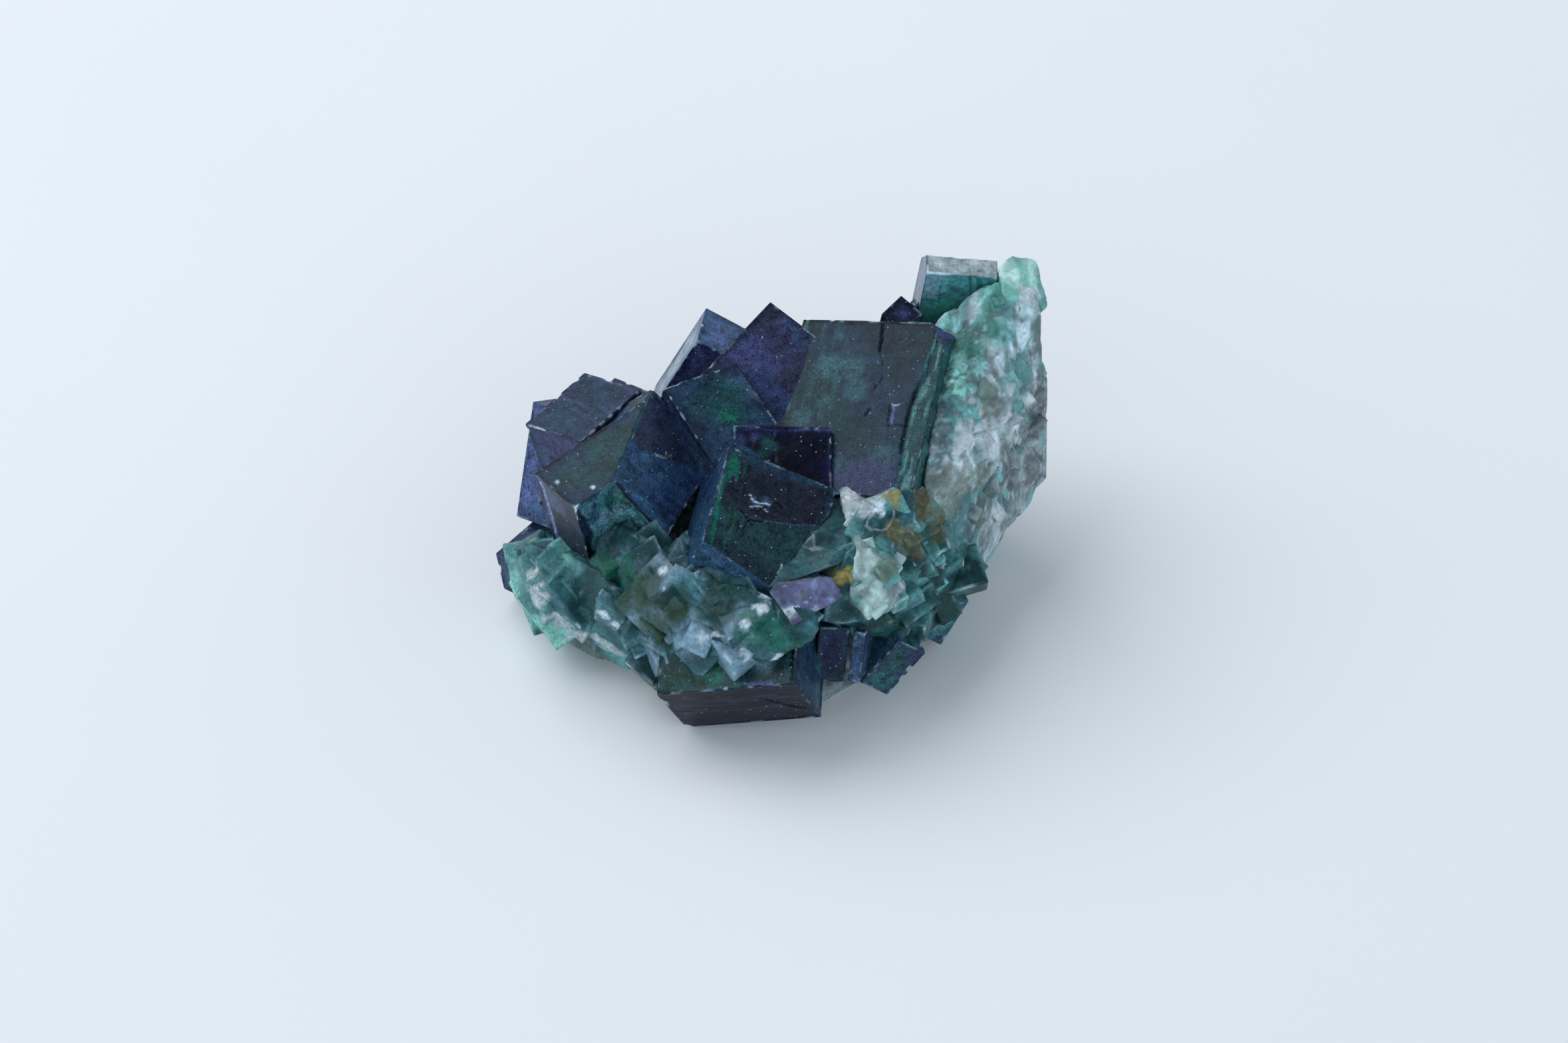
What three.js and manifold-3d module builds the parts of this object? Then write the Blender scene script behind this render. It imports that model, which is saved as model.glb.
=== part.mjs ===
// A cluster of green fluorite cubes with purple rims, grown on a broken piece of host rock.
// Millimetres, +Z up, X to the right and Y to the back. The specimen rests on the flat under its
// host rock, and its origin is at the centre of its outline, on the surface that it rests on.

import * as THREE from "three";
import { ConvexGeometry } from "three/addons/geometries/ConvexGeometry.js";
import { mergeVertices } from "three/addons/utils/BufferGeometryUtils.js";
import Module from "manifold-3d";

const wasm = await Module();
wasm.setup();

// Clearances
const SEAM = 0.3; // between a cube and a piece that grew against it
const ROUGH_SEAM = 0.6; // how far the corners of a broken mass move out before it cuts a neighbour
const LIFT = 0.2; // every piece but the host rock stays this far above the surface

const CUTTER = 80; // side of the block that takes a broken corner off a cube
const DEGREE = Math.PI / 180;

// Colours, roughness and metalness
const FINISH = {
  charcoal: [0x27303f, 0.35, 0],
  navy: [0x1c2740, 0.3, 0],
  violet: [0x3f4a6b, 0.35, 0],
  slate: [0x37485c, 0.35, 0],
  bottleGreen: [0x24494b, 0.35, 0],
  seaGreen: [0x4b7d80, 0.45, 0],
  mint: [0x81b5b2, 0.45, 0],
  veinPurple: [0x4c567a, 0.5, 0],
  white: [0x8b9ea7, 0.7, 0],
  rock: [0x6a7680, 0.85, 0],
};

// Each cube: its name, its finish, its size, the place of its centre and its turn in degrees.
// A chip is a corner or an edge that is missing: the way it faces in the cube's own axes, and how
// far from the cube's centre its flat lies. Cubes that come first keep their whole shape, and the
// later ones stop at them.
const CUBES = [
  {
    name: "front_left_twin",
    finish: "navy",
    size: [8, 10.5, 8],
    at: [-11.7, 0.3, 13.7],
    turn: [-17, -41, -30],
    chips: [{ faces: [0.61, -0.1, 0.79], depth: 4.9 }],
  },
  {
    name: "front_left_cube",
    finish: "bottleGreen",
    size: [12.5, 5.5, 9.5],
    at: [-11.8, -1.1, 13.8],
    turn: [6, -9, 39],
    chips: [{ faces: [0.46, -0.65, 0.6], depth: 3.5 }],
  },
  {
    name: "front_centre_cube",
    finish: "charcoal",
    size: [9.5, 12, 8],
    at: [-1.8, -7.4, 12.7],
    turn: [23, 20, -14],
    chips: [
      { faces: [-0.24, -0.91, 0.33], depth: 5.3 },
      { faces: [0.9, -0.29, 0.33], depth: 4.5 },
    ],
  },
  { name: "middle_dark_cube", finish: "navy", size: [8, 6.5, 7], at: [0.7, 0.2, 13.6], turn: [23, 3, 0] },
  { name: "large_top_cube", finish: "slate", size: [13, 16.5, 8], at: [8.1, 5, 15], turn: [19, -18, -13] },
  { name: "middle_green_cube", finish: "bottleGreen", size: [7, 10, 8], at: [-4.1, 3.3, 14.4], turn: [12, 10, 30] },
  { name: "back_peak_cube", finish: "charcoal", size: [11.5, 9, 9], at: [1.3, 9.7, 14.3], turn: [26, 1, -40] },
  { name: "back_left_cube", finish: "violet", size: [6.5, 5, 10], at: [-5.4, 14.2, 12.9], turn: [1, 28, -9] },
  { name: "upper_left_cube", finish: "slate", size: [6.5, 7.5, 8], at: [-14.6, 6.1, 12.7], turn: [-3, -14, -40] },
  { name: "small_upper_left_cube", finish: "slate", size: [4, 4, 6], at: [-12.2, 9.2, 12.3], turn: [6, -11, -37] },
  { name: "far_left_cube", finish: "violet", size: [7, 7, 10], at: [-15.8, 7, 9.7], turn: [-25, 9, -37] },
  { name: "left_point_cube", finish: "seaGreen", size: [6, 5.5, 4], at: [-18.7, 1.1, 3.9], turn: [1, -7, -39] },
  {
    name: "lower_front_cube",
    finish: "bottleGreen",
    size: [11.5, 6, 7],
    at: [-2.4, -14.3, 5.9],
    turn: [24, -18, -3],
    chips: [{ faces: [-0.55, -0.55, -0.6], depth: 6.6 }],
  },
  { name: "lower_right_column", finish: "navy", size: [2.5, 5, 5], at: [4.4, -10.6, 6], turn: [-13, 5, 10] },
  { name: "lower_right_sliver", finish: "slate", size: [1, 5, 4.5], at: [7.5, -11.2, 6], turn: [-15, 6, -16] },
  { name: "lower_right_cube", finish: "bottleGreen", size: [3, 6, 5], at: [9, -9.2, 4.3], turn: [-12, 38, 20] },
  { name: "right_edge_cube", finish: "seaGreen", size: [3.5, 5, 4.5], at: [13.2, -2.4, 2.9], turn: [-20, 30, 11] },
  {
    name: "top_right_block",
    finish: "seaGreen",
    size: [6, 4, 7.5],
    at: [15.3, 17, 20.7],
    turn: [10, 7, 0],
    chips: [{ faces: [0, 0.77, 0.64], depth: 2.4 }],
  },
  { name: "top_small_point", finish: "navy", size: [2.5, 2.5, 5], at: [10.6, 14.7, 18.3], turn: [24, 6, -42] },
  { name: "top_tiny_point", finish: "navy", size: [1.5, 1.5, 4], at: [11.9, 15.2, 18.6], turn: [20, 0, 45] },
  { name: "rear_centre_cube", finish: "charcoal", size: [9, 8, 9], at: [1.5, 13.5, 9.5], turn: [-28, 12, 35] },
  { name: "rear_right_cube", finish: "slate", size: [8, 7, 8], at: [9.5, 13.5, 9.5], turn: [-35, -18, 12] },
  { name: "rear_left_cube", finish: "violet", size: [7, 7, 7], at: [-8.5, 12, 6.5], turn: [-20, -24, 24] },
  { name: "rear_far_left_cube", finish: "navy", size: [5, 6, 6], at: [-14.5, 8.5, 5], turn: [-12, 20, 50] },
  { name: "rear_flank_cube", finish: "bottleGreen", size: [6, 5, 7], at: [15.5, 15, 9.5], turn: [-30, 8, -20] },
  { name: "rear_foot_cube", finish: "navy", size: [6, 6, 5], at: [5, 12.5, 4.5], turn: [-48, 10, 20] },
  { name: "rear_small_cube", finish: "bottleGreen", size: [4.5, 4.5, 5], at: [-3.5, 15, 4.5], turn: [-25, 30, 5] },
];

// Each broken mass is the blocky shape that its corners span. The small ones come first.
const MASSES = [
  {
    name: "white_chunk_upper",
    finish: "white",
    corners: [
      [6.5, -4, 15.5], [9.5, -3.5, 15.5], [10, -5, 15], [9, -8, 15],
      [8.5, -8.5, 14.5], [7, -6.5, 15.5], [9, -4, 12], [7, -5, 10],
    ],
  },
  {
    name: "white_chunk_lower",
    finish: "mint",
    corners: [
      [7.5, -9.5, 15], [10, -8.5, 14], [10.5, -9.5, 13], [10.5, -12, 11], [8.5, -13.5, 11],
      [7.5, -13.5, 12], [7.5, -12, 14], [9, -12.5, 14.5], [9, -7, 8], [7, -7, 11],
    ],
  },
  {
    name: "purple_vein",
    finish: "veinPurple",
    corners: [
      [1, -15.5, 14], [4.5, -13.5, 13.5], [5, -14, 13], [2.5, -16, 13],
      [2, -16.5, 13], [2, -10, 12], [3, -11, 10],
    ],
  },
  {
    name: "green_pane",
    finish: "seaGreen",
    corners: [
      [4, -6, 15], [5.5, -5, 15], [7.5, -6, 14.5], [7.5, -7.5, 14.5], [7.5, -9.5, 14],
      [5.5, -11, 14.5], [3, -11.5, 13.5], [1, -13, 14], [3.5, -8, 14.5], [6, -6, 12], [3, -8, 10],
    ],
  },
  {
    name: "pale_green_knob",
    finish: "mint",
    corners: [
      [19.5, 15, 24], [20, 16, 24.5], [20.5, 16.5, 24.5], [22, 17, 23.5], [22.5, 16.5, 22.5],
      [23, 15, 21], [22, 13.5, 21], [20.5, 12, 22], [19.5, 13.5, 23], [20, 16, 20], [18, 15, 21],
    ],
  },
  {
    name: "front_green_mass",
    finish: "bottleGreen",
    corners: [
      [-14, -8.5, 10], [-12.5, -10.5, 8], [-11, -11.5, 5], [-9.5, -12.5, 3], [-7, -15, 7], [-4.5, -16.5, 9.5],
      [0.5, -18, 10.5], [1.5, -17, 12], [0.5, -15, 14], [-4, -14, 14.5], [-6, -10.5, 14.5], [-9.5, -8.5, 14],
      [-12, -9, 12.5], [-10, -4, 6], [0, -6, 6], [0, -6, 13], [-8, -3, 13],
    ],
  },
  {
    name: "left_green_lobe",
    finish: "seaGreen",
    corners: [
      [-22, -1, 6.5], [-21.5, -2.5, 4], [-20.5, -3.5, 3], [-18, -5, 1.5], [-16, -6.5, 1], [-12.5, -9, 1.5],
      [-11, -11, 6.5], [-12, -10.5, 9.5], [-14, -9, 10.5], [-17.5, -5, 9.5], [-19.5, -3, 7.5],
      [-18, 2, 1.5], [-12, -2, 1], [-12, -2, 9],
    ],
  },
  {
    name: "lower_green_mass",
    finish: "bottleGreen",
    corners: [
      [9.5, -11.5, 8.5], [11, -9.5, 12], [14.5, -5, 11], [17.5, -1.5, 6], [17, -1.5, 4.5], [16.5, -2, 4],
      [12, -9, 4.5], [7.5, -12, 7.5], [5, -13.5, 10.5], [5.5, -12, 13], [7, -11, 14], [10.5, -7, 14.5],
      [10, -6, 16.5], [12.5, -5.5, 16], [10, -3, 3], [4, -6, 3], [4, -5, 10], [14, 0, 6],
    ],
  },
  {
    name: "pale_flank_rock",
    finish: "white",
    corners: [
      [22, 13, 21.5], [23, 11, 14.5], [23, 7, 8.5], [20, 4, 7], [19.5, 5.5, 5], [17.5, 0.5, 4],
      [14.5, 5, 18.5], [15, -0.5, 15.5], [14.5, -4, 12.5], [13, -6.5, 11], [10.5, -5, 16], [16.5, 8, 20],
      [20, 12.5, 22.5], [14.5, 12.5, 21], [19, 14.5, 23.5], [22, 14, 22.5], [20, 16, 10], [18, 17, 18],
      [14, 14, 3], [10, 8, 3], [10, 10, 15],
    ],
  },
];

// The host rock: its resting flat, its widest girdle and its buried top.
const HOST_ROCK = {
  name: "host_rock",
  finish: "rock",
  corners: [
    [-12, -7, 0], [-7, -10, 0], [0, -12, 0], [6, -10, 0], [12, -5, 0],
    [16, 3, 0], [13, 11, 0], [2, 13, 0], [-8, 10, 0], [-15, 3, 0],
    [-17, -2, 3.5], [-12, -9, 3], [-4, -12.5, 3], [10, -8, 3], [16, -1, 4],
    [19, 7, 5], [15, 14, 5], [0, 16, 5], [-12, 12, 5], [-17, 5, 5],
    [-11, -4, 10], [-2, -8, 11], [8, -5, 11], [13, 2, 13], [13, 11, 14], [-2, 12, 13], [-12, 8, 10],
  ],
};

// Turns a closed three.js geometry into a solid that can be cut.
function solidFrom(geometry) {
  const bare = geometry.clone();
  bare.deleteAttribute("normal");
  bare.deleteAttribute("uv");
  const merged = mergeVertices(bare, 1e-4);
  return new wasm.Manifold(
    new wasm.Mesh({
      numProp: 3,
      vertProperties: new Float32Array(merged.attributes.position.array),
      triVerts: new Uint32Array(merged.index.array),
    }),
  );
}

function geometryFrom(solid) {
  const mesh = solid.getMesh();
  const geometry = new THREE.BufferGeometry();
  geometry.setAttribute("position", new THREE.BufferAttribute(mesh.vertProperties, 3));
  geometry.setIndex(new THREE.BufferAttribute(mesh.triVerts, 1));
  const flat = geometry.toNonIndexed();
  flat.computeVertexNormals();
  return flat;
}

// The place and turn of a cube as one matrix.
function matrixOf(cube) {
  const turn = new THREE.Euler(...cube.turn.map((angle) => angle * DEGREE), "XYZ");
  const matrix = new THREE.Matrix4().makeRotationFromEuler(turn);
  return matrix.setPosition(...cube.at);
}

// The block that lies beyond a chip's flat.
function chipCutter(chip, swell) {
  const faces = new THREE.Vector3(...chip.faces).normalize();
  const block = new THREE.BoxGeometry(CUTTER, CUTTER, CUTTER);
  block.translate(0, 0, CUTTER / 2);
  block.applyQuaternion(new THREE.Quaternion().setFromUnitVectors(new THREE.Vector3(0, 0, 1), faces));
  block.translate(...faces.multiplyScalar(chip.depth + swell).toArray());
  return block;
}

// A cube with its chips off, in the specimen's frame. Swell moves every flat outwards.
function cubeSolid(cube, swell = 0) {
  const [width, length, height] = cube.size.map((side) => side + 2 * swell);
  let solid = solidFrom(new THREE.BoxGeometry(width, length, height));
  for (const chip of cube.chips ?? []) {
    solid = solid.subtract(solidFrom(chipCutter(chip, swell)));
  }
  return solidFrom(geometryFrom(solid).applyMatrix4(matrixOf(cube)));
}

// A broken mass spanned by its corners. Swell moves each corner away from the middle.
function massSolid(mass, swell = 0) {
  const corners = mass.corners.map((corner) => new THREE.Vector3(...corner));
  const middle = corners.reduce((sum, corner) => sum.add(corner), new THREE.Vector3());
  middle.divideScalar(corners.length);
  const moved = corners.map((corner) => {
    const away = corner.clone().sub(middle).normalize();
    return corner.clone().addScaledVector(away, swell);
  });
  return solidFrom(new ConvexGeometry(moved));
}

// What is above the level that only the host rock goes below.
function aboveLift() {
  const block = new THREE.BoxGeometry(CUTTER, CUTTER, CUTTER);
  block.translate(0, 0, CUTTER / 2 + LIFT);
  return solidFrom(block);
}

// The largest piece that is left of a solid: cutting can leave crumbs.
function largestPiece(solid) {
  const pieces = solid.decompose();
  pieces.sort((one, other) => other.volume() - one.volume());
  return pieces[0];
}

function materialOf(finish) {
  const [color, roughness, metalness] = FINISH[finish];
  return new THREE.MeshStandardMaterial({ color, roughness, metalness });
}

// A mesh in its own frame: the solid is in the specimen's frame, and the matrix says where it sits.
function meshFrom(piece, solid, matrix) {
  const geometry = geometryFrom(solid).applyMatrix4(matrix.clone().invert());
  const mesh = new THREE.Mesh(geometry, materialOf(piece.finish));
  mesh.name = piece.name;
  matrix.decompose(mesh.position, mesh.quaternion, mesh.scale);
  return mesh;
}

function middleOf(mass) {
  const box = new THREE.Box3().setFromPoints(mass.corners.map((corner) => new THREE.Vector3(...corner)));
  const middle = box.getCenter(new THREE.Vector3());
  return new THREE.Matrix4().setPosition(middle);
}

// Grows every piece against the ones before it, and groups them.
function growSpecimen() {
  const specimen = new THREE.Group();
  const crystals = new THREE.Group();
  const rocks = new THREE.Group();
  specimen.add(crystals, rocks);
  const roof = aboveLift();
  const grown = [];

  const grow = (solid) => {
    const left = grown.reduce((rest, earlier) => rest.subtract(earlier), solid);
    return largestPiece(left);
  };
  for (const cube of CUBES) {
    const solid = grow(cubeSolid(cube).intersect(roof));
    crystals.add(meshFrom(cube, solid, matrixOf(cube)));
    grown.push(cubeSolid(cube, SEAM));
  }
  for (const mass of MASSES) {
    const solid = grow(massSolid(mass).intersect(roof));
    rocks.add(meshFrom(mass, solid, middleOf(mass)));
    grown.push(massSolid(mass, ROUGH_SEAM));
  }
  rocks.add(meshFrom(HOST_ROCK, grow(massSolid(HOST_ROCK)), middleOf(HOST_ROCK)));
  return specimen;
}

// Stands the specimen on its flat, with the middle of its outline at the origin.
function standAtOrigin(specimen) {
  specimen.updateMatrixWorld(true);
  const box = new THREE.Box3().setFromObject(specimen, true);
  const middle = box.getCenter(new THREE.Vector3());
  specimen.position.set(-middle.x, -middle.y, -box.min.z);
  return specimen;
}

const group = standAtOrigin(growSpecimen());

export default group;
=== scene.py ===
"""The looks of a fluorite specimen: dark cubes of zoned green and purple fluorite, the broken green
masses between them, white crust, and the pale rock they grew on. It is laid out as an add-on with
one operator for each group of pieces. Lengths in the tables are millimetres."""

import math

import bmesh
import bpy
import numpy as np
from bpy.props import FloatProperty, FloatVectorProperty, PointerProperty
from mathutils import Euler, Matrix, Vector


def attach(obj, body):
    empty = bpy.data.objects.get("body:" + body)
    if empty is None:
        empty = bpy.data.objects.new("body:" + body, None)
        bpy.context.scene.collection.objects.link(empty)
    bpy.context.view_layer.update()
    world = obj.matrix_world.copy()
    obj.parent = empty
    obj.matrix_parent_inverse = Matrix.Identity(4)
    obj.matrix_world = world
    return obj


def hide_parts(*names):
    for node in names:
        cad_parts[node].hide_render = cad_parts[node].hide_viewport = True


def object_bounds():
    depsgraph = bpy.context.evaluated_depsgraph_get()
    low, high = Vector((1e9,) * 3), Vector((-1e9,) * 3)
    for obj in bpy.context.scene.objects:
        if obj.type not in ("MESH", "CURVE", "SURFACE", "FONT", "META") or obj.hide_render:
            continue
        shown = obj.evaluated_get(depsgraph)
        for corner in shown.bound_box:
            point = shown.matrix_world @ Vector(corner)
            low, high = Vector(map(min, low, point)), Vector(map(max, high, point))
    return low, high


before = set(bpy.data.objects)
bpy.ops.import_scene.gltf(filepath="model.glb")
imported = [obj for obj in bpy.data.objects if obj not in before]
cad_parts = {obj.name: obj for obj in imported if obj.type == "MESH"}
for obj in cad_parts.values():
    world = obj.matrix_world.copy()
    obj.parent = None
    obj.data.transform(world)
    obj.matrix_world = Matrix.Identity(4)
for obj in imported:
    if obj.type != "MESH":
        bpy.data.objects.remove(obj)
CAD_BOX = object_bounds()

bl_info = {
    "name": "Fluorite Specimen",
    "version": (1, 0, 0),
    "blender": (4, 5, 0),
    "location": "3D View > Sidebar > Fluorite",
    "description": "Builds the crystals, the broken masses and the rock of a fluorite specimen",
    "category": "Object",
}

MM = 0.001
BODY = "root"

# Colours of the minerals, as sRGB hex values: what each is for is in its description.
PALETTE = {
    "ink": ("#060a14", "Lines of shadow in cracks and along dark edges"),
    "soot": ("#0a1330", "The darkest purple-blue growth faces"),
    "charcoal": ("#1a2432", "Dull near-black growth faces"),
    "umber": ("#252838", "Growth faces with a brownish bloom"),
    "navy": ("#1c2b49", "Dark blue growth faces"),
    "indigo": ("#1c2258", "Clean purple-blue rims"),
    "violet": ("#3a4066", "Dusty purple faces"),
    "heather": ("#5a6296", "Pale dusty purple"),
    "grape": ("#5d5e85", "Purple vein"),
    "slate": ("#27445c", "Blue-grey faces"),
    "steel": ("#44597a", "Lighter blue-grey bloom"),
    "bottle": ("#1c4346", "Dark green faces"),
    "pine": ("#123630", "Deep green glass inside a broken mass"),
    "emerald": ("#145a4b", "Green core seen through a face"),
    "jade": ("#33786a", "Clear green glass"),
    "teal": ("#38656b", "Blue-green broken crystal"),
    "sea": ("#58918f", "Pale blue-green glass"),
    # Partly painted light: a thin edge of green glass looks this bright because light comes through it.
    # The rest is the pale glass's own colour.
    "mint": ("#7fbcae", "Thin edges and bright pale glass"),
    "aqua": ("#b9d8d0", "The palest glass"),
    "moss": ("#263f28", "Olive green windows"),
    "crust": ("#7593a3", "Pale blue crust of crushed crystal"),
    "frost": ("#c9d6e0", "White bruises and chipped edges"),
    "bone": ("#b3bcbf", "White granular vein"),
    "ash": ("#8a989b", "Grey rock"),
    "earth": ("#69746a", "Grey-brown rock"),
    "bark": ("#565e60", "Dark brown-grey rock"),
    "rust": ("#5f5838", "Iron stain"),
    "ochre": ("#8f7c34", "Bright yellow-brown iron stain"),
}


def linear(hex_code):
    """An sRGB hex colour as linear red, green and blue."""
    shares = [int(hex_code[i : i + 2], 16) / 255 for i in (1, 3, 5)]
    return [s / 12.92 if s <= 0.04045 else ((s + 0.055) / 1.055) ** 2.4 for s in shares]


# Sizes and colours that a user can change


class FluoriteColours(bpy.types.PropertyGroup):
    """The colours of the minerals. Its properties are made from the palette."""

    __annotations__ = {
        name: FloatVectorProperty(
            name=name.capitalize(), description=use, subtype="COLOR", size=3,
            default=linear(code), min=0, max=1,
        )
        for name, (code, use) in PALETTE.items()
    }


class FluoriteSizes(bpy.types.PropertyGroup):
    """How finely the surfaces are made and how worn they are."""

    cell: FloatProperty(
        name="Cell", description="Spacing of the grid that a crystal's surface is worked out on",
        default=0.12 * MM, min=0.05 * MM, unit="LENGTH",
    )
    rear_cell: FloatProperty(
        name="Rear cell", description="Spacing of the grid on the crystals at the back",
        default=0.25 * MM, min=0.05 * MM, unit="LENGTH",
    )
    rock_cell: FloatProperty(
        name="Rock cell", description="Spacing of the grid on the broken masses and the rock",
        default=0.15 * MM, min=0.05 * MM, unit="LENGTH",
    )
    edge: FloatProperty(
        name="Edge", description="Rounding of an edge that isn't chipped",
        default=0.07 * MM, min=0, unit="LENGTH",
    )
    chip: FloatProperty(
        name="Chips", description="How far the small chips along an edge reach",
        default=0.3 * MM, min=0, unit="LENGTH",
    )
    terrace: FloatProperty(
        name="Growth steps", description="Height of one growth step on a crystal face",
        default=0.035 * MM, min=0, unit="LENGTH",
    )


class FluoriteStage(bpy.types.PropertyGroup):
    """The floor, the light and the camera."""

    floor: FloatVectorProperty(
        name="Floor", description="Colour of the floor", subtype="COLOR", size=3,
        default=linear("#f6f5f4"), min=0, max=1,
    )
    key_power: FloatProperty(
        name="Window", description="Power of the soft light behind and left of the specimen",
        default=7.6, min=0, unit="POWER",
    )
    horizon: FloatProperty(
        name="Horizon", description="Strength of the even light from all round", default=1.1, min=0,
    )
    zenith: FloatProperty(
        name="Zenith", description="Strength of the light from straight above", default=0.12, min=0,
    )
    elevation: FloatProperty(
        name="Elevation", description="Height of the camera above the horizon",
        default=math.radians(40), unit="ROTATION",
    )
    distance: FloatProperty(
        name="Distance", description="From the camera to the middle of the specimen",
        default=303.1 * MM, unit="LENGTH",
    )
    aside: FloatProperty(
        name="Aside", description="How far right of the middle the camera aims",
        default=0.99 * MM, unit="LENGTH",
    )
    below: FloatProperty(
        name="Below", description="How far below the middle the camera aims",
        default=2.57 * MM, unit="LENGTH",
    )
    lens: FloatProperty(name="Lens", description="Focal length in millimetres", default=85.0)


# Patterns, worked out for whole arrays of points

CORNERS = np.array([(x, y, z) for x in (0, 1) for y in (0, 1) for z in (0, 1)])
AROUND = np.array([(x, y, z) for x in (-1, 0, 1) for y in (-1, 0, 1) for z in (-1, 0, 1)])
CLEAVAGE_TURN = np.array(Euler((0.5, -0.35, 0.6)).to_matrix())  # how a broken mass's cleavage lies
WEIGHTS = (374761393, 668265263, 1442695041)  # what hashed() multiplies a cell's three numbers by
SEED_WEIGHT = 974634777
SPREAD = 1274126177  # multiplies the stirred bits
TOP = 0xFFFFF  # the highest whole number that hashed() can come to
SIDE_SHIFTS = np.array([0.31, 0.47, 0.83])  # added for each axis, so that a pyramid's sides differ
BEYOND = 9.0  # further off than the nearest centre ever is, in cells


def hashed(cells, seed):
    """A fixed pseudo-random number from 0 to 1 for each whole-number cell: its three numbers are
    weighted, added, and stirred by shifts and products."""
    mixed = cells[..., 0] * WEIGHTS[0] + cells[..., 1] * WEIGHTS[1]
    mixed = mixed + cells[..., 2] * WEIGHTS[2] + seed * SEED_WEIGHT
    mixed = (mixed ^ (mixed >> 13)) * SPREAD
    mixed = (mixed ^ (mixed >> 16)) & TOP
    return mixed / TOP


def noise(points, size, seed):
    """Smooth noise from -1 to 1: random heights at the corners of cells of that size, blended
    between the corners with the weights 3t^2 - 2t^3."""
    place = points / size
    cell = np.floor(place).astype(np.int64)
    share = place - cell
    share = share * share * (3 - 2 * share)
    total = np.zeros(len(points))
    for corner in CORNERS:
        weight = np.prod(np.where(corner, share, 1 - share), axis=1)
        total += weight * hashed(cell + corner, seed)
    return 2 * total - 1


def layered(points, size, seed, layers=3):
    """Noise with finer noise on it: each layer is half the size and half the height."""
    total = sum(noise(points, size / 2**k, seed + k) / 2**k for k in range(layers))
    return total / (2 - 2 ** (1 - layers))


def cells(points, size, seed, flat=False):
    """A jittered grid of centres: how far the nearest one is, its random number, and how much
    further the second nearest is. The distance is squared, so that it is a bowl round each centre,
    or with flat it is the sum along three axes, so that it is a four-sided pyramid with flat sides,
    like fluorite's cleavage, and each side has its own random number."""
    place = points / size
    if flat:
        place = place @ CLEAVAGE_TURN
    home = np.floor(place).astype(np.int64)
    first = np.full(len(points), BEYOND)
    second = np.full(len(points), BEYOND)
    owner = np.zeros(len(points))
    for step in AROUND:
        cell = home + step
        centre = cell + np.stack([hashed(cell, seed + k) for k in range(3)], axis=1)
        away = place - centre
        number = hashed(cell, seed + 3)
        if flat:
            number = (number + ((away > 0) @ SIDE_SHIFTS)) % 1
            away = np.abs(away).sum(axis=1)
        else:
            away = (away**2).sum(axis=1)
        nearer = away < first
        second = np.where(nearer, first, np.minimum(second, away))
        owner = np.where(nearer, number, owner)
        first = np.where(nearer, away, first)
    if flat:
        return first, owner, second - first
    return first, owner, np.sqrt(second) - np.sqrt(first)


def soft(values, low, high):
    """0 below low, 1 above high, and a smooth rise between them. Low may be above high."""
    share = np.clip((values - low) / (high - low), 0, 1)
    return share * share * (3 - 2 * share)


def from_line(u, v, points):
    """Distance from each place (u, v) to a line through the points."""
    nearest = np.full(len(u), 1e3)
    for (u0, v0), (u1, v1) in zip(points[:-1], points[1:]):
        along = np.array([u1 - u0, v1 - v0])
        share = ((u - u0) * along[0] + (v - v0) * along[1]) / max(along @ along, 1e-9)
        share = np.clip(share, 0, 1)
        nearest = np.minimum(nearest, np.hypot(u - u0 - share * along[0], v - v0 - share * along[1]))
    return nearest


class Paint:
    """The colour and the wear of each point of a surface, laid on in coats."""

    def __init__(self, count, colours):
        self.colours = colours
        self.colour = np.zeros((count, 3))
        self.wear = np.zeros(count)

    def shade(self, name):
        return np.array(getattr(self.colours, name))

    def coat(self, name, amount, wear=None):
        """Covers the surface with a colour by the amount at each point, and wears it there."""
        share = np.clip(np.broadcast_to(amount, self.wear.shape), 0, 1)
        self.colour += (self.shade(name) - self.colour) * share[:, None]
        if wear is not None:
            self.wear += (wear - self.wear) * share

    def lighten(self, amount):
        """Multiplies the colour by 1 plus the amount at each point."""
        self.colour *= np.clip(1 + amount, 0, None)[:, None]


# Surfaces


def shell(size, cell):
    """A closed grid over the six sides of a box. Each point is a share from 0 to 1 along the
    box's three sides, the sides share the points of their edges, and the squares face out."""
    counts = np.maximum(3, np.ceil(size / cell).astype(int))
    places = np.indices(counts + 1)
    on = np.any([(places[k] == 0) | (places[k] == counts[k]) for k in range(3)], axis=0)
    index = np.full(counts + 1, -1)
    index[on] = np.arange(on.sum())
    share = np.stack([places[k][on] / counts[k] for k in range(3)], axis=1)
    squares = []
    for axis in range(3):
        for end in (0, counts[axis]):
            sheet = np.take(index, end, axis=axis)
            ring = np.stack([sheet[:-1, :-1], sheet[1:, :-1], sheet[1:, 1:], sheet[:-1, 1:]], axis=-1)
            ring = ring.reshape(-1, 4)
            faces_out = (end > 0) != (axis == 1)
            squares.append(ring if faces_out else ring[:, ::-1])
    return share, np.concatenate(squares)


def node_points(name):
    """The corners of a CAD node, in millimetres."""
    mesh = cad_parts[name].data
    flat = np.empty(3 * len(mesh.vertices), np.float32)
    mesh.vertices.foreach_get("co", flat)
    return flat.reshape(-1, 3).astype(float) / MM


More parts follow.
